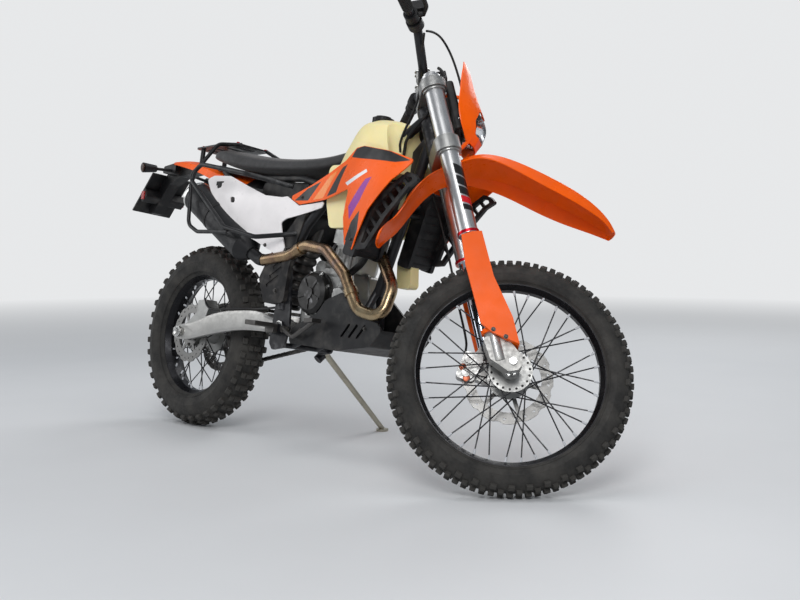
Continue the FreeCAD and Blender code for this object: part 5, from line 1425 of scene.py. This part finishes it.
@dataclass
class Seat(Assembly):
    """Foam seat with a ribbed top, pebbled sides and rounded ends."""

    stations: Sequence[SeatStation] = (
        SeatStation(20, 78, 88, 1046, 998, 4), SeatStation(70, 86, 97, 1046, 988, 6),
        SeatStation(140, 93, 108, 1037, 966, 7), SeatStation(300, 101, 120, 1009, 941, 8),
        SeatStation(460, 104, 124, 991, 931, 8), SeatStation(600, 98, 121, 986, 926, 8),
        SeatStation(700, 84, 106, 994, 931, 8), SeatStation(770, 68, 90, 1010, 950, 6),
        SeatStation(798, 58, 80, 1018, 960, 5))
    segments: int = 40
    squareness: float = 3.4
    end_inset: float = 14.0
    end_bulge: float = 8.0
    top_from: float = 0.75
    smoothing: int = 2
    fill: float = 0.9

    def section(self, bm: bmesh.types.BMesh, station: SeatStation) -> list:
        """One closed ring round the seat.

        Args:
            bm: The mesh that receives the ring.
            station: Place and sizes of the section.

        Returns:
            The ring's edges.
        """
        ring = bmesh.ops.create_circle(bm, cap_ends=False, radius=1.0, segments=self.segments)["verts"]

        def squared(value: float) -> float:
            """Part of the unit circle pushed out towards a rounded square."""
            return abs(value) ** (2 / self.squareness) * (1 if value > 0 else -1)
        for vert in ring:
            across, share = squared(vert.co.x), (squared(vert.co.y) + 1) / 2
            half = station.foot_half + (station.top_half - station.foot_half) * share
            height = (station.top - station.crown - station.foot) * share
            lift = station.crown * (1 - across ** 2) * share
            vert.co = Vector((station.x, across * half, station.foot + height + lift))
        return list({edge for vert in ring for edge in vert.link_edges})

    def build(self) -> None:
        """Bridges the sections, closes the ends and covers the foam."""
        fin = self.fin
        bm = bmesh.new()
        rings = [self.section(bm, station) for station in self.stations]
        for first, second in zip(rings, rings[1:]):
            bmesh.ops.bridge_loops(bm, edges=first + second)
        for ring in (rings[0], rings[-1]):
            bmesh.ops.edgenet_fill(bm, edges=ring)
        bmesh.ops.recalc_face_normals(bm, faces=bm.faces)
        caps = [face for face in bm.faces if len(face.verts) > 4]
        bmesh.ops.inset_individual(bm, faces=caps, thickness=self.end_inset, depth=self.end_bulge)
        for face in bm.faces:
            face.material_index = 1 if face.normal.z > self.top_from else 0
        made = self.shop.piece("seat_cover", bm, [fin.seat_side, fin.seat_top], Body.CHASSIS, node="seat",
                               angle=60.0, local=self.stance.chassis)
        rounding = made.modifiers.new("rounding", "SUBSURF")
        rounding.levels = self.smoothing
        rounding.render_levels = self.smoothing


# Studio

@dataclass(frozen=True)
class SoftLamp:
    """Square soft lamp by its place and side in metres and its power in watts."""

    name: str
    place: Point
    size: float
    power: float


@dataclass
class Studio(Assembly):
    """Floor, soft lamps and the camera that took the reference view."""

    camera_at: Point = (3358.0, -2259.8, 354.0)
    yaw: float = radians(45.874)
    pitch: float = radians(-3.887)
    roll: float = radians(0.189)
    focal: float = 46.87
    sensor: float = 36.0
    sees_to: float = 200.0
    floor_r: float = 40.0
    sky: Colour = (0.86, 0.92, 1.0)
    sky_strength: float = 0.3
    aim: Point = (0.0, 0.0, 0.6)
    lamps: Sequence[SoftLamp] = (
        SoftLamp("key", (3.2, -3.4, 3.6), 2.2, 135.0), SoftLamp("fill", (-3.6, -2.6, 2.4), 3.0, 48.0),
        SoftLamp("back", (-1.0, 4.2, 3.4), 2.6, 75.0), SoftLamp("top", (0.2, 0.0, 4.6), 2.6, 50.0))

    def camera(self) -> None:
        """Sets the camera at the reference view, which is known on the upright machine."""
        level = (Matrix.Rotation(self.yaw, 4, "Z") @ Matrix.Rotation(pi / 2 + self.pitch, 4, "X")
                 @ Matrix.Rotation(self.roll, 4, "Z"))
        parked = self.stance.chassis.to_quaternion().to_matrix().to_4x4()
        data = bpy.data.cameras.new("camera")
        data.lens = self.focal
        data.sensor_width = self.sensor
        data.clip_end = self.sees_to
        made = placed("camera", data)
        made.matrix_world = (Matrix.Translation(self.stance.chassis @ Vector(self.camera_at)) @ parked
                             @ Matrix.Rotation(LEAN, 4, "X") @ level)
        bpy.context.scene.camera = made

    def floor(self) -> None:
        """Lays a wide pale floor under the tyres."""
        bm = bmesh.new()
        bmesh.ops.create_circle(bm, cap_ends=True, radius=self.floor_r, segments=96)
        made = placed("floor", mesh_of(bm, "floor"))
        made.data.materials.append(self.fin.floor.material())

    def light(self) -> None:
        """Hangs the soft lamps, all aimed at the machine."""
        for lamp in self.lamps:
            data = bpy.data.lights.new(lamp.name, "AREA")
            data.size = lamp.size
            data.energy = lamp.power
            spot = Vector(lamp.place)
            placed(lamp.name, data).matrix_world = towards(spot - Vector(self.aim), spot)

    def world(self) -> None:
        """Pale surround that lights softly and shows pale behind the machine."""
        world = bpy.data.worlds.new("surround")
        world.use_nodes = True
        bpy.context.scene.world = world
        nodes, links = world.node_tree.nodes, world.node_tree.links
        shown, light = nodes["Background"], nodes.new("ShaderNodeBackground")
        shown.inputs["Color"].default_value = (*SURROUND, 1.0)
        light.inputs["Color"].default_value = (*self.sky, 1.0)
        light.inputs["Strength"].default_value = self.sky_strength
        rays, either = nodes.new("ShaderNodeLightPath"), nodes.new("ShaderNodeMath")
        either.operation = "MAXIMUM"
        both = nodes.new("ShaderNodeMixShader")
        for output, socket in (
                (rays.outputs["Is Camera Ray"], either.inputs[0]),
                (rays.outputs["Is Transmission Ray"], either.inputs[1]),
                (either.outputs[0], both.inputs[0]), (light.outputs[0], both.inputs[1]),
                (shown.outputs[0], both.inputs[2]),
                (both.outputs[0], nodes["World Output"].inputs["Surface"])):
            links.new(output, socket)

    def build(self) -> None:
        """Sets up the whole studio."""
        self.camera()
        self.floor()
        self.world()
        self.light()
        bpy.context.scene.view_settings.view_transform = "Standard"


# Sub-assemblies that keep their solids

@dataclass
class Bodywork(Assembly):
    """Shrouds, panels, fenders, tank, guards and their graphics."""

    panel_edge: float = 0.5
    tank_edge: float = 1.5
    guard_edge: float = 1.0
    panel_angle: float = 40.0
    black_front: Outline = ((246, 780), (246, 1000), (700, 1000), (700, 780))

    def build(self) -> None:
        """Dresses every panel."""
        fin = self.fin
        films = self.shroud_films()
        for side in ("left", "right"):
            self.panel(f"shroud_{side}", fin.orange, Body.CHASSIS, films)
            self.panel(f"side_panel_{side}", fin.white, Body.CHASSIS)
        front = Flash(fin.black_plastic, self.black_front)
        self.panel("rear_fender", fin.orange, Body.CHASSIS, [front])
        self.panel("front_fender", fin.orange, Body.STEERING)
        self.panel("headlight_mask", fin.orange, Body.STEERING)
        self.shop.dressed("fork_guards", fin.orange, Body.STEERING, self.panel_edge)
        for node in ("fuel_tank", "coolant_bottle"):
            self.shop.dressed(node, fin.tank, edge=self.tank_edge, angle=self.panel_angle)
        self.shop.dressed("frame_guards", fin.guard_plastic, edge=self.tank_edge)
        for node in ("fuel_cap", "skid_plate"):
            self.shop.dressed(node, fin.black_plastic, edge=self.guard_edge)
        self.shop.dressed("plate_holder", fin.black_plastic)

    def panel(self, node: str, finish: Finish, body: Body, films: Sequence[Flash] = ()) -> None:
        """Dresses one thin moulded panel, with its films.

        Args:
            node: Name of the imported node.
            finish: Its finish.
            body: The body that it moves with.
            films: Flashes cut into its skin.
        """
        self.shop.dressed(node, finish, body, self.panel_edge, films, self.panel_angle)

    def shroud_films(self) -> list[Flash]:
        """Angular flashes on the tank shrouds: rear slats, top stripe, blade, tip and dash."""
        fin = self.fin
        return [
            Flash(fin.black_film, ((600, 826), (668, 864), (742, 884), (676, 824))),
            Flash(fin.pale_orange, ((706, 826), (792, 900), (836, 916), (762, 828))),
            Flash(fin.black_film, ((786, 832), (862, 922), (888, 930), (846, 842))),
            Flash(fin.black_film, ((900, 952), (912, 980), (954, 984), (1096, 956), (1196, 922),
                                   (1130, 920), (960, 942))),
            Flash(fin.purple, ((936, 792), (1016, 872), (1078, 884), (1000, 806), (950, 726))),
            Flash(fin.black_film, ((926, 690), (958, 742), (1004, 776), (1000, 716), (976, 664))),
            Flash(fin.white_film, ((900, 868), (1010, 904), (1018, 894), (916, 858))),
        ]


@dataclass
class RunningGear(Assembly):
    """Frame, engine, exhaust, swingarm and everything bolted to them."""

    sprocket_edge: float = 0.4

    def build(self) -> None:
        """Dresses the solids of the chassis."""
        fin = self.fin
        for node, finish in {
                "frame": fin.frame_paint, "engine_cases": fin.cases, "cylinder": fin.barrel,
                "engine_covers": fin.black_cover, "exhaust_header": fin.header,
                "muffler": fin.muffler_black, "radiators": fin.black_plastic, "side_racks": fin.rack_paint,
                "foot_controls": fin.dark_steel, "shock": fin.dark_steel, "swingarm": fin.arm,
                "rear_axle": fin.bright, "rear_caliper": fin.machined, "subframe": fin.black_plastic}.items():
            self.shop.dressed(node, finish)
        self.shop.dressed("rear_sprocket", fin.dark_steel, Body.REAR_WHEEL, self.sprocket_edge)
        self.shop.dressed("side_stand", fin.stand, Body.SIDE_STAND)


@dataclass
class FrontEnd(Assembly):
    """Fork, clamps, bar and lamp. Levels are heights along the head axis above the front axle."""

    lug_top: float = 95.0
    lug_reach: float = 90.0
    film_leads: tuple[float, float] = (FORK_LEAD, 54.0)
    film_slant: float = 0.5
    films: Outline = ((628, 34), (588, 30), (552, 26), (520, 22), (492, 18))
    red_film: int = 3
    piston: tuple[float, float] = (11.0, 3.0)
    pistons_at: Outline = ((1352, 352), (1370, 322))
    piston_reach: float = 720.0

    def build(self) -> None:
        """Dresses the solids of the steering and sets the pistons in its caliper."""
        fin = self.fin
        for node, finish in {
                "triple_clamps": fin.machined, "handlebar": fin.frame_paint,
                "bar_controls": fin.black_plastic, "front_axle": fin.bright, "headlight": fin.clear_lens,
                "front_caliper": fin.machined}.items():
            self.shop.dressed(node, finish, Body.STEERING)
        reach, top = self.lug_reach, self.lug_top
        bounds = ((-reach, top), (reach, top), (reach, -reach), (-reach, -reach))
        lug = Flash(fin.lug, self.stance.head_outline(bounds))
        self.shop.dressed("fork_sliders", fin.chrome, Body.STEERING, patches=[lug])
        pistons = self.shop.on_skin("front_caliper", Body.STEERING, self.pistons_at, self.piston_reach)
        self.shop.scatter("front_pistons", button(*self.piston), pistons, fin.copper, Body.STEERING,
                          Slot.CALIPER)
        films = [self.slanted(*film, fin.red_film if index == self.red_film else fin.black_film)
                 for index, film in enumerate(self.films)]
        self.shop.dressed("fork_tubes", fin.tube, Body.STEERING, patches=films)

    def slanted(self, level: float, tall: float, finish: Finish) -> Flash:
        """One slanted film on the front of the lower fork tubes.

        Args:
            level: Height of its rear top corner.
            tall: Its height.
            finish: Its finish.

        Returns:
            The film in side view.
        """
        rear, front = self.film_leads
        lower = level - self.film_slant * tall
        bounds = ((rear, level), (front, lower), (front, lower - tall), (rear, level - tall))
        return Flash(finish, self.stance.head_outline(bounds))


# Small parts

@dataclass
class Fasteners(Assembly):
    """Hex bolts of the engine, frame, panels, rack, clamps, discs and sprocket."""

    small: tuple[float, float] = (5.0, 4.0)
    medium: tuple[float, float] = (6.5, 5.0)
    large: tuple[float, float] = (13.0, 7.0)
    clutch_circle: tuple[int, float, Point] = (8, 70.0, (725, -93, 522))
    generator_circle: tuple[int, float, Point] = (8, 62.0, (780, 93, 500))
    filter_circle: tuple[int, float, Point] = (3, 29.0, (846, -90, 520))
    case_bolts: Sequence[Point] = ((676, 81, 412), (850, 81, 412), (872, 81, 452), (862, 81, 566))
    panel_screws: Outline = ((486, 672),)
    shroud_screws: Outline = ((640, 836), (968, 690))
    skid_screws: Outline = ((700, 398), (1010, 424))
    panel_slots: Sequence[Point] = ((170, 141.5, 887), (281, 150.5, 830))
    slot_insert: Point = (46.0, 30.0, 3.0)
    pivots: Sequence[Point] = ((590, 116, 405), (0, 129, 342))
    guard_bolts: Sequence[Point] = ((556, 124, 520), (586, 124, 660))
    rack_bolts: Sequence[Point] = ((-110, 52, 1062), (42, 70, 1062), (134, 64, 1062))
    adjuster: Point = (-46, 106, 341)
    pinch_at: tuple[float, float] = (57, 66)
    pinch_levels: Sequence[float] = (903, 921, 688, 700, 712)
    riser_level: float = 1007.0
    riser_corners: Outline = ((-8, 32), (-8, 52), (24, 32), (24, 52))
    lug_at: tuple[float, float] = (-26, 101)
    lug_leads: Sequence[float] = (38, 54)
    guard_screws: Outline = ((1414, 420), (1452, 408))
    disc_circle_r: float = 43.0
    sprocket_circle_r: float = 46.0
    front_disc_y: float = 56.0
    rear_disc_y: float = -68.0
    sprocket_y: float = 85.0
    spoke_head: tuple[float, float] = (3.6, 1.6)
    spoke_hole_r: float = 54.0

    def build(self) -> None:
        """Sets every bolt on its face."""
        fin = self.fin
        small, medium, large = hex_bolt(*self.small), hex_bolt(*self.medium), hex_bolt(*self.large)
        engine = ring_spots(*self.clutch_circle, RIGHT, pi / 8)
        engine += ring_spots(*self.generator_circle, LEFT)
        engine += ring_spots(*self.filter_circle, RIGHT, 0.4)
        self.shop.scatter("engine_bolts", small, engine + both_sides(self.case_bolts), fin.bright)
        panels = []
        for node, places in (
                ("side_panel_right", self.panel_screws), ("side_panel_left", self.panel_screws),
                ("shroud_left", self.shroud_screws), ("shroud_right", self.shroud_screws),
                ("skid_plate", self.skid_screws)):
            panels += self.shop.on_skin(node, Body.CHASSIS, places)
        self.shop.scatter("panel_screws", small, panels, fin.dark_steel)
        self.shop.scatter("panel_inserts", rounded_box(self.slot_insert, 1.0), both_sides(self.panel_slots),
                          fin.black_plastic, slot=Slot.PLASTIC)
        self.shop.scatter("pivot_nuts", large, both_sides(self.pivots), fin.bright)
        self.shop.scatter("frame_bolts", medium, both_sides(self.guard_bolts), fin.dark_steel)
        self.shop.scatter("rack_bolts", medium, both_sides(self.rack_bolts, UP), fin.red_ring)
        self.shop.scatter("chain_adjusters", medium, both_sides([self.adjuster], -AHEAD), fin.bright)
        self.steering_bolts(small, medium)
        self.wheel_bolts(small)

    def steering_bolts(self, small: bpy.types.Mesh, medium: bpy.types.Mesh) -> None:
        """Pinch bolts of the clamps, bar and axle, and screws of the fork guards.

        Args:
            small: The small bolt.
            medium: The middle bolt.
        """
        fin, head, riser = self.fin, self.stance.head, self.riser_level
        pinch_lead, pinch_out = self.pinch_at
        lug_level, lug_out = self.lug_at
        spots = []
        for side in SIDES:
            spots += [(head(pinch_lead, level, side * pinch_out), HEAD_LEAD) for level in self.pinch_levels]
            spots += [(head(lead, riser, side * out), HEAD_UP) for lead, out in self.riser_corners]
            spots += [(head(lead, lug_level, side * lug_out), -HEAD_UP) for lead in self.lug_leads]
        self.shop.scatter("clamp_bolts", medium, spots, fin.bright, Body.STEERING)
        guards = self.shop.on_skin("fork_guards", Body.STEERING, self.guard_screws)
        self.shop.scatter("fork_guard_screws", small, guards, fin.dark_steel, Body.STEERING)

    def wheel_bolts(self, small: bpy.types.Mesh) -> None:
        """Bolts of both discs and the sprocket, and the spoke heads in the hub flanges.

        Args:
            small: The small bolt.
        """
        fin, front_axle = self.fin, self.stance.front_axle
        front = ring_spots(6, self.disc_circle_r, front_axle + LEFT * self.front_disc_y, LEFT, pi / 6)
        self.shop.scatter("front_disc_bolts", small, front, fin.dark_steel, Body.FRONT_WHEEL)
        rear = ring_spots(6, self.disc_circle_r, REAR_AXLE + LEFT * self.rear_disc_y, RIGHT, pi / 6)
        rear += ring_spots(6, self.sprocket_circle_r, REAR_AXLE + LEFT * self.sprocket_y, LEFT, pi / 6)
        self.shop.scatter("rear_disc_bolts", small, rear, fin.dark_steel, Body.REAR_WHEEL)
        heads = button(*self.spoke_head)
        for name, body, half in (
                ("front_spoke_heads", Body.FRONT_WHEEL, FRONT_HUB_HALF),
                ("rear_spoke_heads", Body.REAR_WHEEL, REAR_HUB_HALF)):
            spots = []
            for out in (RIGHT, LEFT):
                centre = self.stance.axle(body) + out * half
                spots += ring_spots(SPOKES // 2, self.spoke_hole_r, centre, out)
            self.shop.scatter(name, heads, spots, fin.black_plastic, body, Slot.PLASTIC)


@dataclass(frozen=True)
class Hose:
    """Line fixed at both ends, by its radius and its points on the upright machine."""

    name: str
    radius: float
    points: Sequence[Point]
    slot: Slot = Slot.PLASTIC


@dataclass
class Plumbing(Assembly):
    """Coolant hoses, brake hoses, the ignition lead and the cables beside the head."""

    hoses: Sequence[Hose] = (
        Hose("radiator_hose_upper", 12.0,
             ((1004, 64, 838), (986, 46, 824), (940, 34, 790), (896, 30, 752)), Slot.RADIATOR),
        Hose("radiator_hose_lower", 11.0,
             ((960, -94, 662), (944, -94, 628), (900, -92, 604), (866, -88, 582)), Slot.RADIATOR),
        Hose("bottle_hose", 4.5, ((960, 97, 686), (962, 97, 706), (968, 92, 722), (974, 80, 730)),
             Slot.RADIATOR),
        Hose("rear_brake_hose", 4.0, ((622, -100, 470), (560, -98, 468), (460, -92, 456), (370, -96, 452),
                                      (270, -106, 444), (180, -106, 434), (120, -98, 450), (98, -88, 474))),
        Hose("ignition_lead", 4.0, ((838, -84, 702), (842, -98, 712), (840, -100, 750), (826, -84, 800),
                                    (800, -60, 850))),
    )
    # The lines at the bars are given by lead, height along the head axis and side
    brake: Hose = Hose("front_brake_hose", 3.6, (
        (22, 1012, -250), (60, 1040, -200), (96, 1010, -130), (112, 940, -78), (110, 860, -70),
        (84, 790, -62), (70, 752, -30), (68, 748, 40), (66, 744, 104), (40, 738, 148), (-8, 726, 148),
        (-30, 690, 130), (-22, 600, 126), (-22, 420, 122), (-28, 300, 116), (-28, 160, 110),
        (-40, 124, 84), (-48, 104, 74)))
    cable_feet: Sequence[Hose] = (
        Hose("throttle_cable", 4.0, ((1004, -52, 968), (1010, -58, 986), (1006, -66, 1020))),
        Hose("wiring_loop", 5.0, ((1008, -44, 962), (1018, -48, 990), (1020, -54, 1030))),
    )
    cable_tops: Sequence[Sequence[Point]] = (
        ((-20, 900, -70), (-6, 990, -96), (14, 1032, -150), (18, 1030, -214)),
        ((30, 880, -64), (64, 930, -64), (72, 990, -62), (60, 1010, -50)),
    )

    def build(self) -> None:
        """Lays every hose and both cables."""
        head = self.stance.head
        for hose in self.hoses:
            self.tube(hose, [Vector(point) for point in hose.points], Body.CHASSIS)
        self.tube(self.brake, [head(*point) for point in self.brake.points], Body.STEERING)
        for foot, top in zip(self.cable_feet, self.cable_tops):
            self.bridge(foot, [head(*point) for point in top])

    def tube(self, hose: Hose, points: Sequence[Vector], body: Body) -> None:
        """Lays one hose that keeps its shape.

        Args:
            hose: The hose.
            points: Its points on the upright machine.
            body: The body that it moves with.
        """
        bm = bmesh.new()
        bm.from_mesh(routed(points, hose.radius))
        self.shop.piece(hose.name, bm, [self.fin.hose], body, hose.slot, angle=60.0,
                        local=self.stance.of(body))

    def bridge(self, foot: Hose, turning: Sequence[Vector]) -> None:
        """Lays a cable from the chassis to the bars, shaped for their present turn.

        Args:
            foot: The cable, with its points on the chassis.
            turning: Its points that turn with the bars, from the chassis end on.
        """
        points = [self.stance.chassis @ Vector(point) for point in foot.points]
        points += [self.stance.steering @ point for point in turning]
        mesh = routed(points, foot.radius * MM)
        mesh.name = foot.name
        mesh.materials.append(self.fin.hose.material())
        mesh.polygons.foreach_set("use_smooth", [True] * len(mesh.polygons))
        made = placed(foot.name, mesh)
        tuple(points[1])
        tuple(points[-2])
        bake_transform(made)


@dataclass
class Lamps(Assembly):
    """Head lamp bowl and bulb, tail lens, reflectors and signals."""

    bowl: Outline = ((7, -42), (30, -30), (44, -4), (46, 0), (43, 0), (28, -26), (7, -38))
    bowl_at: Point = (1206, 0, 1096)
    bezel: Point = (44.0, 5.0, 6.0)
    bezel_at: Point = (1207, 0, 1096)
    bulb_at: Point = (1184, 0, 1097)
    bulb_r: float = 8.0
    beam: Point = (1, 0, -0.06)
    shell: Point = (124.0, 176.0, 30.0)
    shell_at: tuple[float, float] = (80, 866)
    tail_lens: Point = (84.0, 22.0, 12.0)
    tail_at: Point = (-390, 0, 987)
    tail_faces: Point = (-1, 0, 0.1)
    reflector: Point = (22.0, 34.0, 6.0)
    reflector_at: Point = (-445, 94, 874)
    signal: tuple[float, float] = (17.0, 8.0)
    signal_at: Point = (-330, 176, 966)
    signal_faces: Point = (-0.2, 1, -0.1)

    def build(self) -> None:
        """Makes the lamps of both ends."""
        self.front()
        self.rear()

    def front(self) -> None:
        """Bowl, bezel and bulb behind the lens, and the black shell behind the mask."""
        fin, stance, beam = self.fin, self.stance, Vector(self.beam)
        facing = towards(beam, Vector(self.bowl_at)) @ Matrix.Rotation(pi / 2, 4, "X")
        self.shop.piece("lamp_bowl", spun(self.bowl, 48), [fin.mirror], Body.STEERING, Slot.LAMP,
                        local=stance.steering @ facing)
        self.shop.scatter("lamp_bezel", collar(*self.bezel), [(Vector(self.bezel_at), beam)],
                          fin.black_plastic, Body.STEERING, Slot.PLASTIC)
        bulb = bmesh.new()
        bmesh.ops.create_uvsphere(bulb, u_segments=20, v_segments=12, radius=self.bulb_r,
                                  matrix=Matrix.Translation(self.bulb_at))
        self.shop.piece("lamp_bulb", bulb, [fin.clear_lens], Body.STEERING, Slot.LAMP, local=stance.steering)
        behind = [(stance.head(*self.shell_at), HEAD_LEAD)]
        self.shop.scatter("lamp_shell", rounded_box(self.shell, 9.0), behind, fin.black_plastic,
                          Body.STEERING, Slot.PLASTIC)

    def rear(self) -> None:
        """Red lens, side reflectors and the lenses of the signals."""
        fin = self.fin
        tail = [(Vector(self.tail_at), Vector(self.tail_faces))]
        signals = both_sides([self.signal_at], Vector(self.signal_faces))
        for name, shape, spots, finish in (
                ("tail_lens", rounded_box(self.tail_lens, 3.0), tail, fin.red_lens),
                ("side_reflectors", rounded_box(self.reflector, 2.0), both_sides([self.reflector_at]),
                 fin.red_lens),
                ("rear_signals", button(*self.signal), signals, fin.smoked_lens)):
            self.shop.scatter(name, shape, spots, finish, slot=Slot.PLASTIC)


@dataclass
class Trim(Assembly):
    """Rings of the fork, ribs of the grips and bands of the muffler."""

    clamp_ring: Point = (29.0, 6.0, 7.0)
    clamp_levels: Sequence[float] = (893, 931, 676, 724)
    wiper: Point = (30.0, 2.4, 9.0)
    wiper_level: float = 407.0
    grip_rib: Point = (15.6, 2.2, 3.4)
    grip_end: Point = (-54, 1080, 406)
    grip_root: Point = (6, 1070, 190)
    grip_ribs: int = 19
    rib_first: float = 4.0
    rib_pitch: float = 6.2
    muffler_neck: Point = (395, -132, 652)
    muffler_rear: Point = (8, -140, 862)
    ring: Point = (55.0, 3.2, 12.0)
    ring_from_rear: float = 32.0
    strap: Point = (55.4, 2.6, 20.0)
    strap_from_rear: float = 190.0

    def build(self) -> None:
        """Puts the rings where they belong."""
        fin, head = self.fin, self.stance.head

        def on_legs(levels: Sequence[float]) -> list[Spot]:
            """Places round both fork legs."""
            return [(head(FORK_LEAD, level, side * FORK_SIDE), HEAD_UP)
                    for level in levels for side in SIDES]
        self.shop.scatter("clamp_rings", collar(*self.clamp_ring), on_legs(self.clamp_levels), fin.machined,
                          Body.STEERING, Slot.CLAMP)
        self.shop.scatter("wiper_rings", collar(*self.wiper), on_legs([self.wiper_level]), fin.red_ring,
                          Body.STEERING, Slot.PLASTIC)
        end = head(*self.grip_end)
        lean = (end - head(*self.grip_root)).normalized()
        places = [end - lean * (self.rib_first + self.rib_pitch * i) for i in range(self.grip_ribs)]
        self.shop.scatter("grip_ribs", collar(*self.grip_rib), both_sides(places, lean), fin.soft_rubber,
                          Body.STEERING, Slot.BAR)
        rear = Vector(self.muffler_rear)
        run = (rear - Vector(self.muffler_neck)).normalized()
        for name, band, back, finish in (
                ("muffler_ring", collar(*self.ring), self.ring_from_rear, fin.bright),
                ("muffler_strap", collar(*self.strap), self.strap_from_rear, fin.black_plastic)):
            self.shop.scatter(name, band, [(rear - run * back, run)], finish, slot=Slot.MUFFLER)


def wheels(shop: Workshop) -> list[Assembly]:
    """Both tyres and both spoked wheels.

    Args:
        shop: The workshop that builds them.

    Returns:
        The four sub-assemblies.
    """
    front = (KnobRow(7.5, 11, 19, 12), KnobRow(21.0, 12, 18, 12, 0.5), KnobRow(36.0, 14, 20, 13, 0.05, 0.1))
    rear = (KnobRow(0.0, 30, 19, 13, 0.5), KnobRow(25.0, 17, 22, 13), KnobRow(48.0, 20, 24, 14, 0.45, 0.08))
    return [
        Tyre(shop, "front", Body.FRONT_WHEEL, FRONT_TYRE_R, 45.0, 270.0, 26.0, 42, front),
        Tyre(shop, "rear", Body.REAR_WHEEL, REAR_TYRE_R, 66.0, 229.0, 30.0, 40, rear),
        SpokedWheel(shop, "front", Body.FRONT_WHEEL, 280.0, 26.0, FRONT_HUB_HALF),
        SpokedWheel(shop, "rear", Body.REAR_WHEEL, 240.0, 28.0, REAR_HUB_HALF),
    ]


def main() -> None:
    """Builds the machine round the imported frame."""
    logging.basicConfig(level=logging.INFO, format="%(name)s: %(message)s")
    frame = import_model()
    stance = Stance.from_joints(frame["joints"])
    shop = Workshop(frame, stance, Finishes(stance))
    rest = (Chain, Seat, Bodywork, RunningGear, FrontEnd, Fasteners, Plumbing, Lamps, Trim)
    for assembly in (Studio(shop), *wheels(shop), *[kind(shop) for kind in rest]):
        assembly.build()


if __name__ == "__main__":
    main()
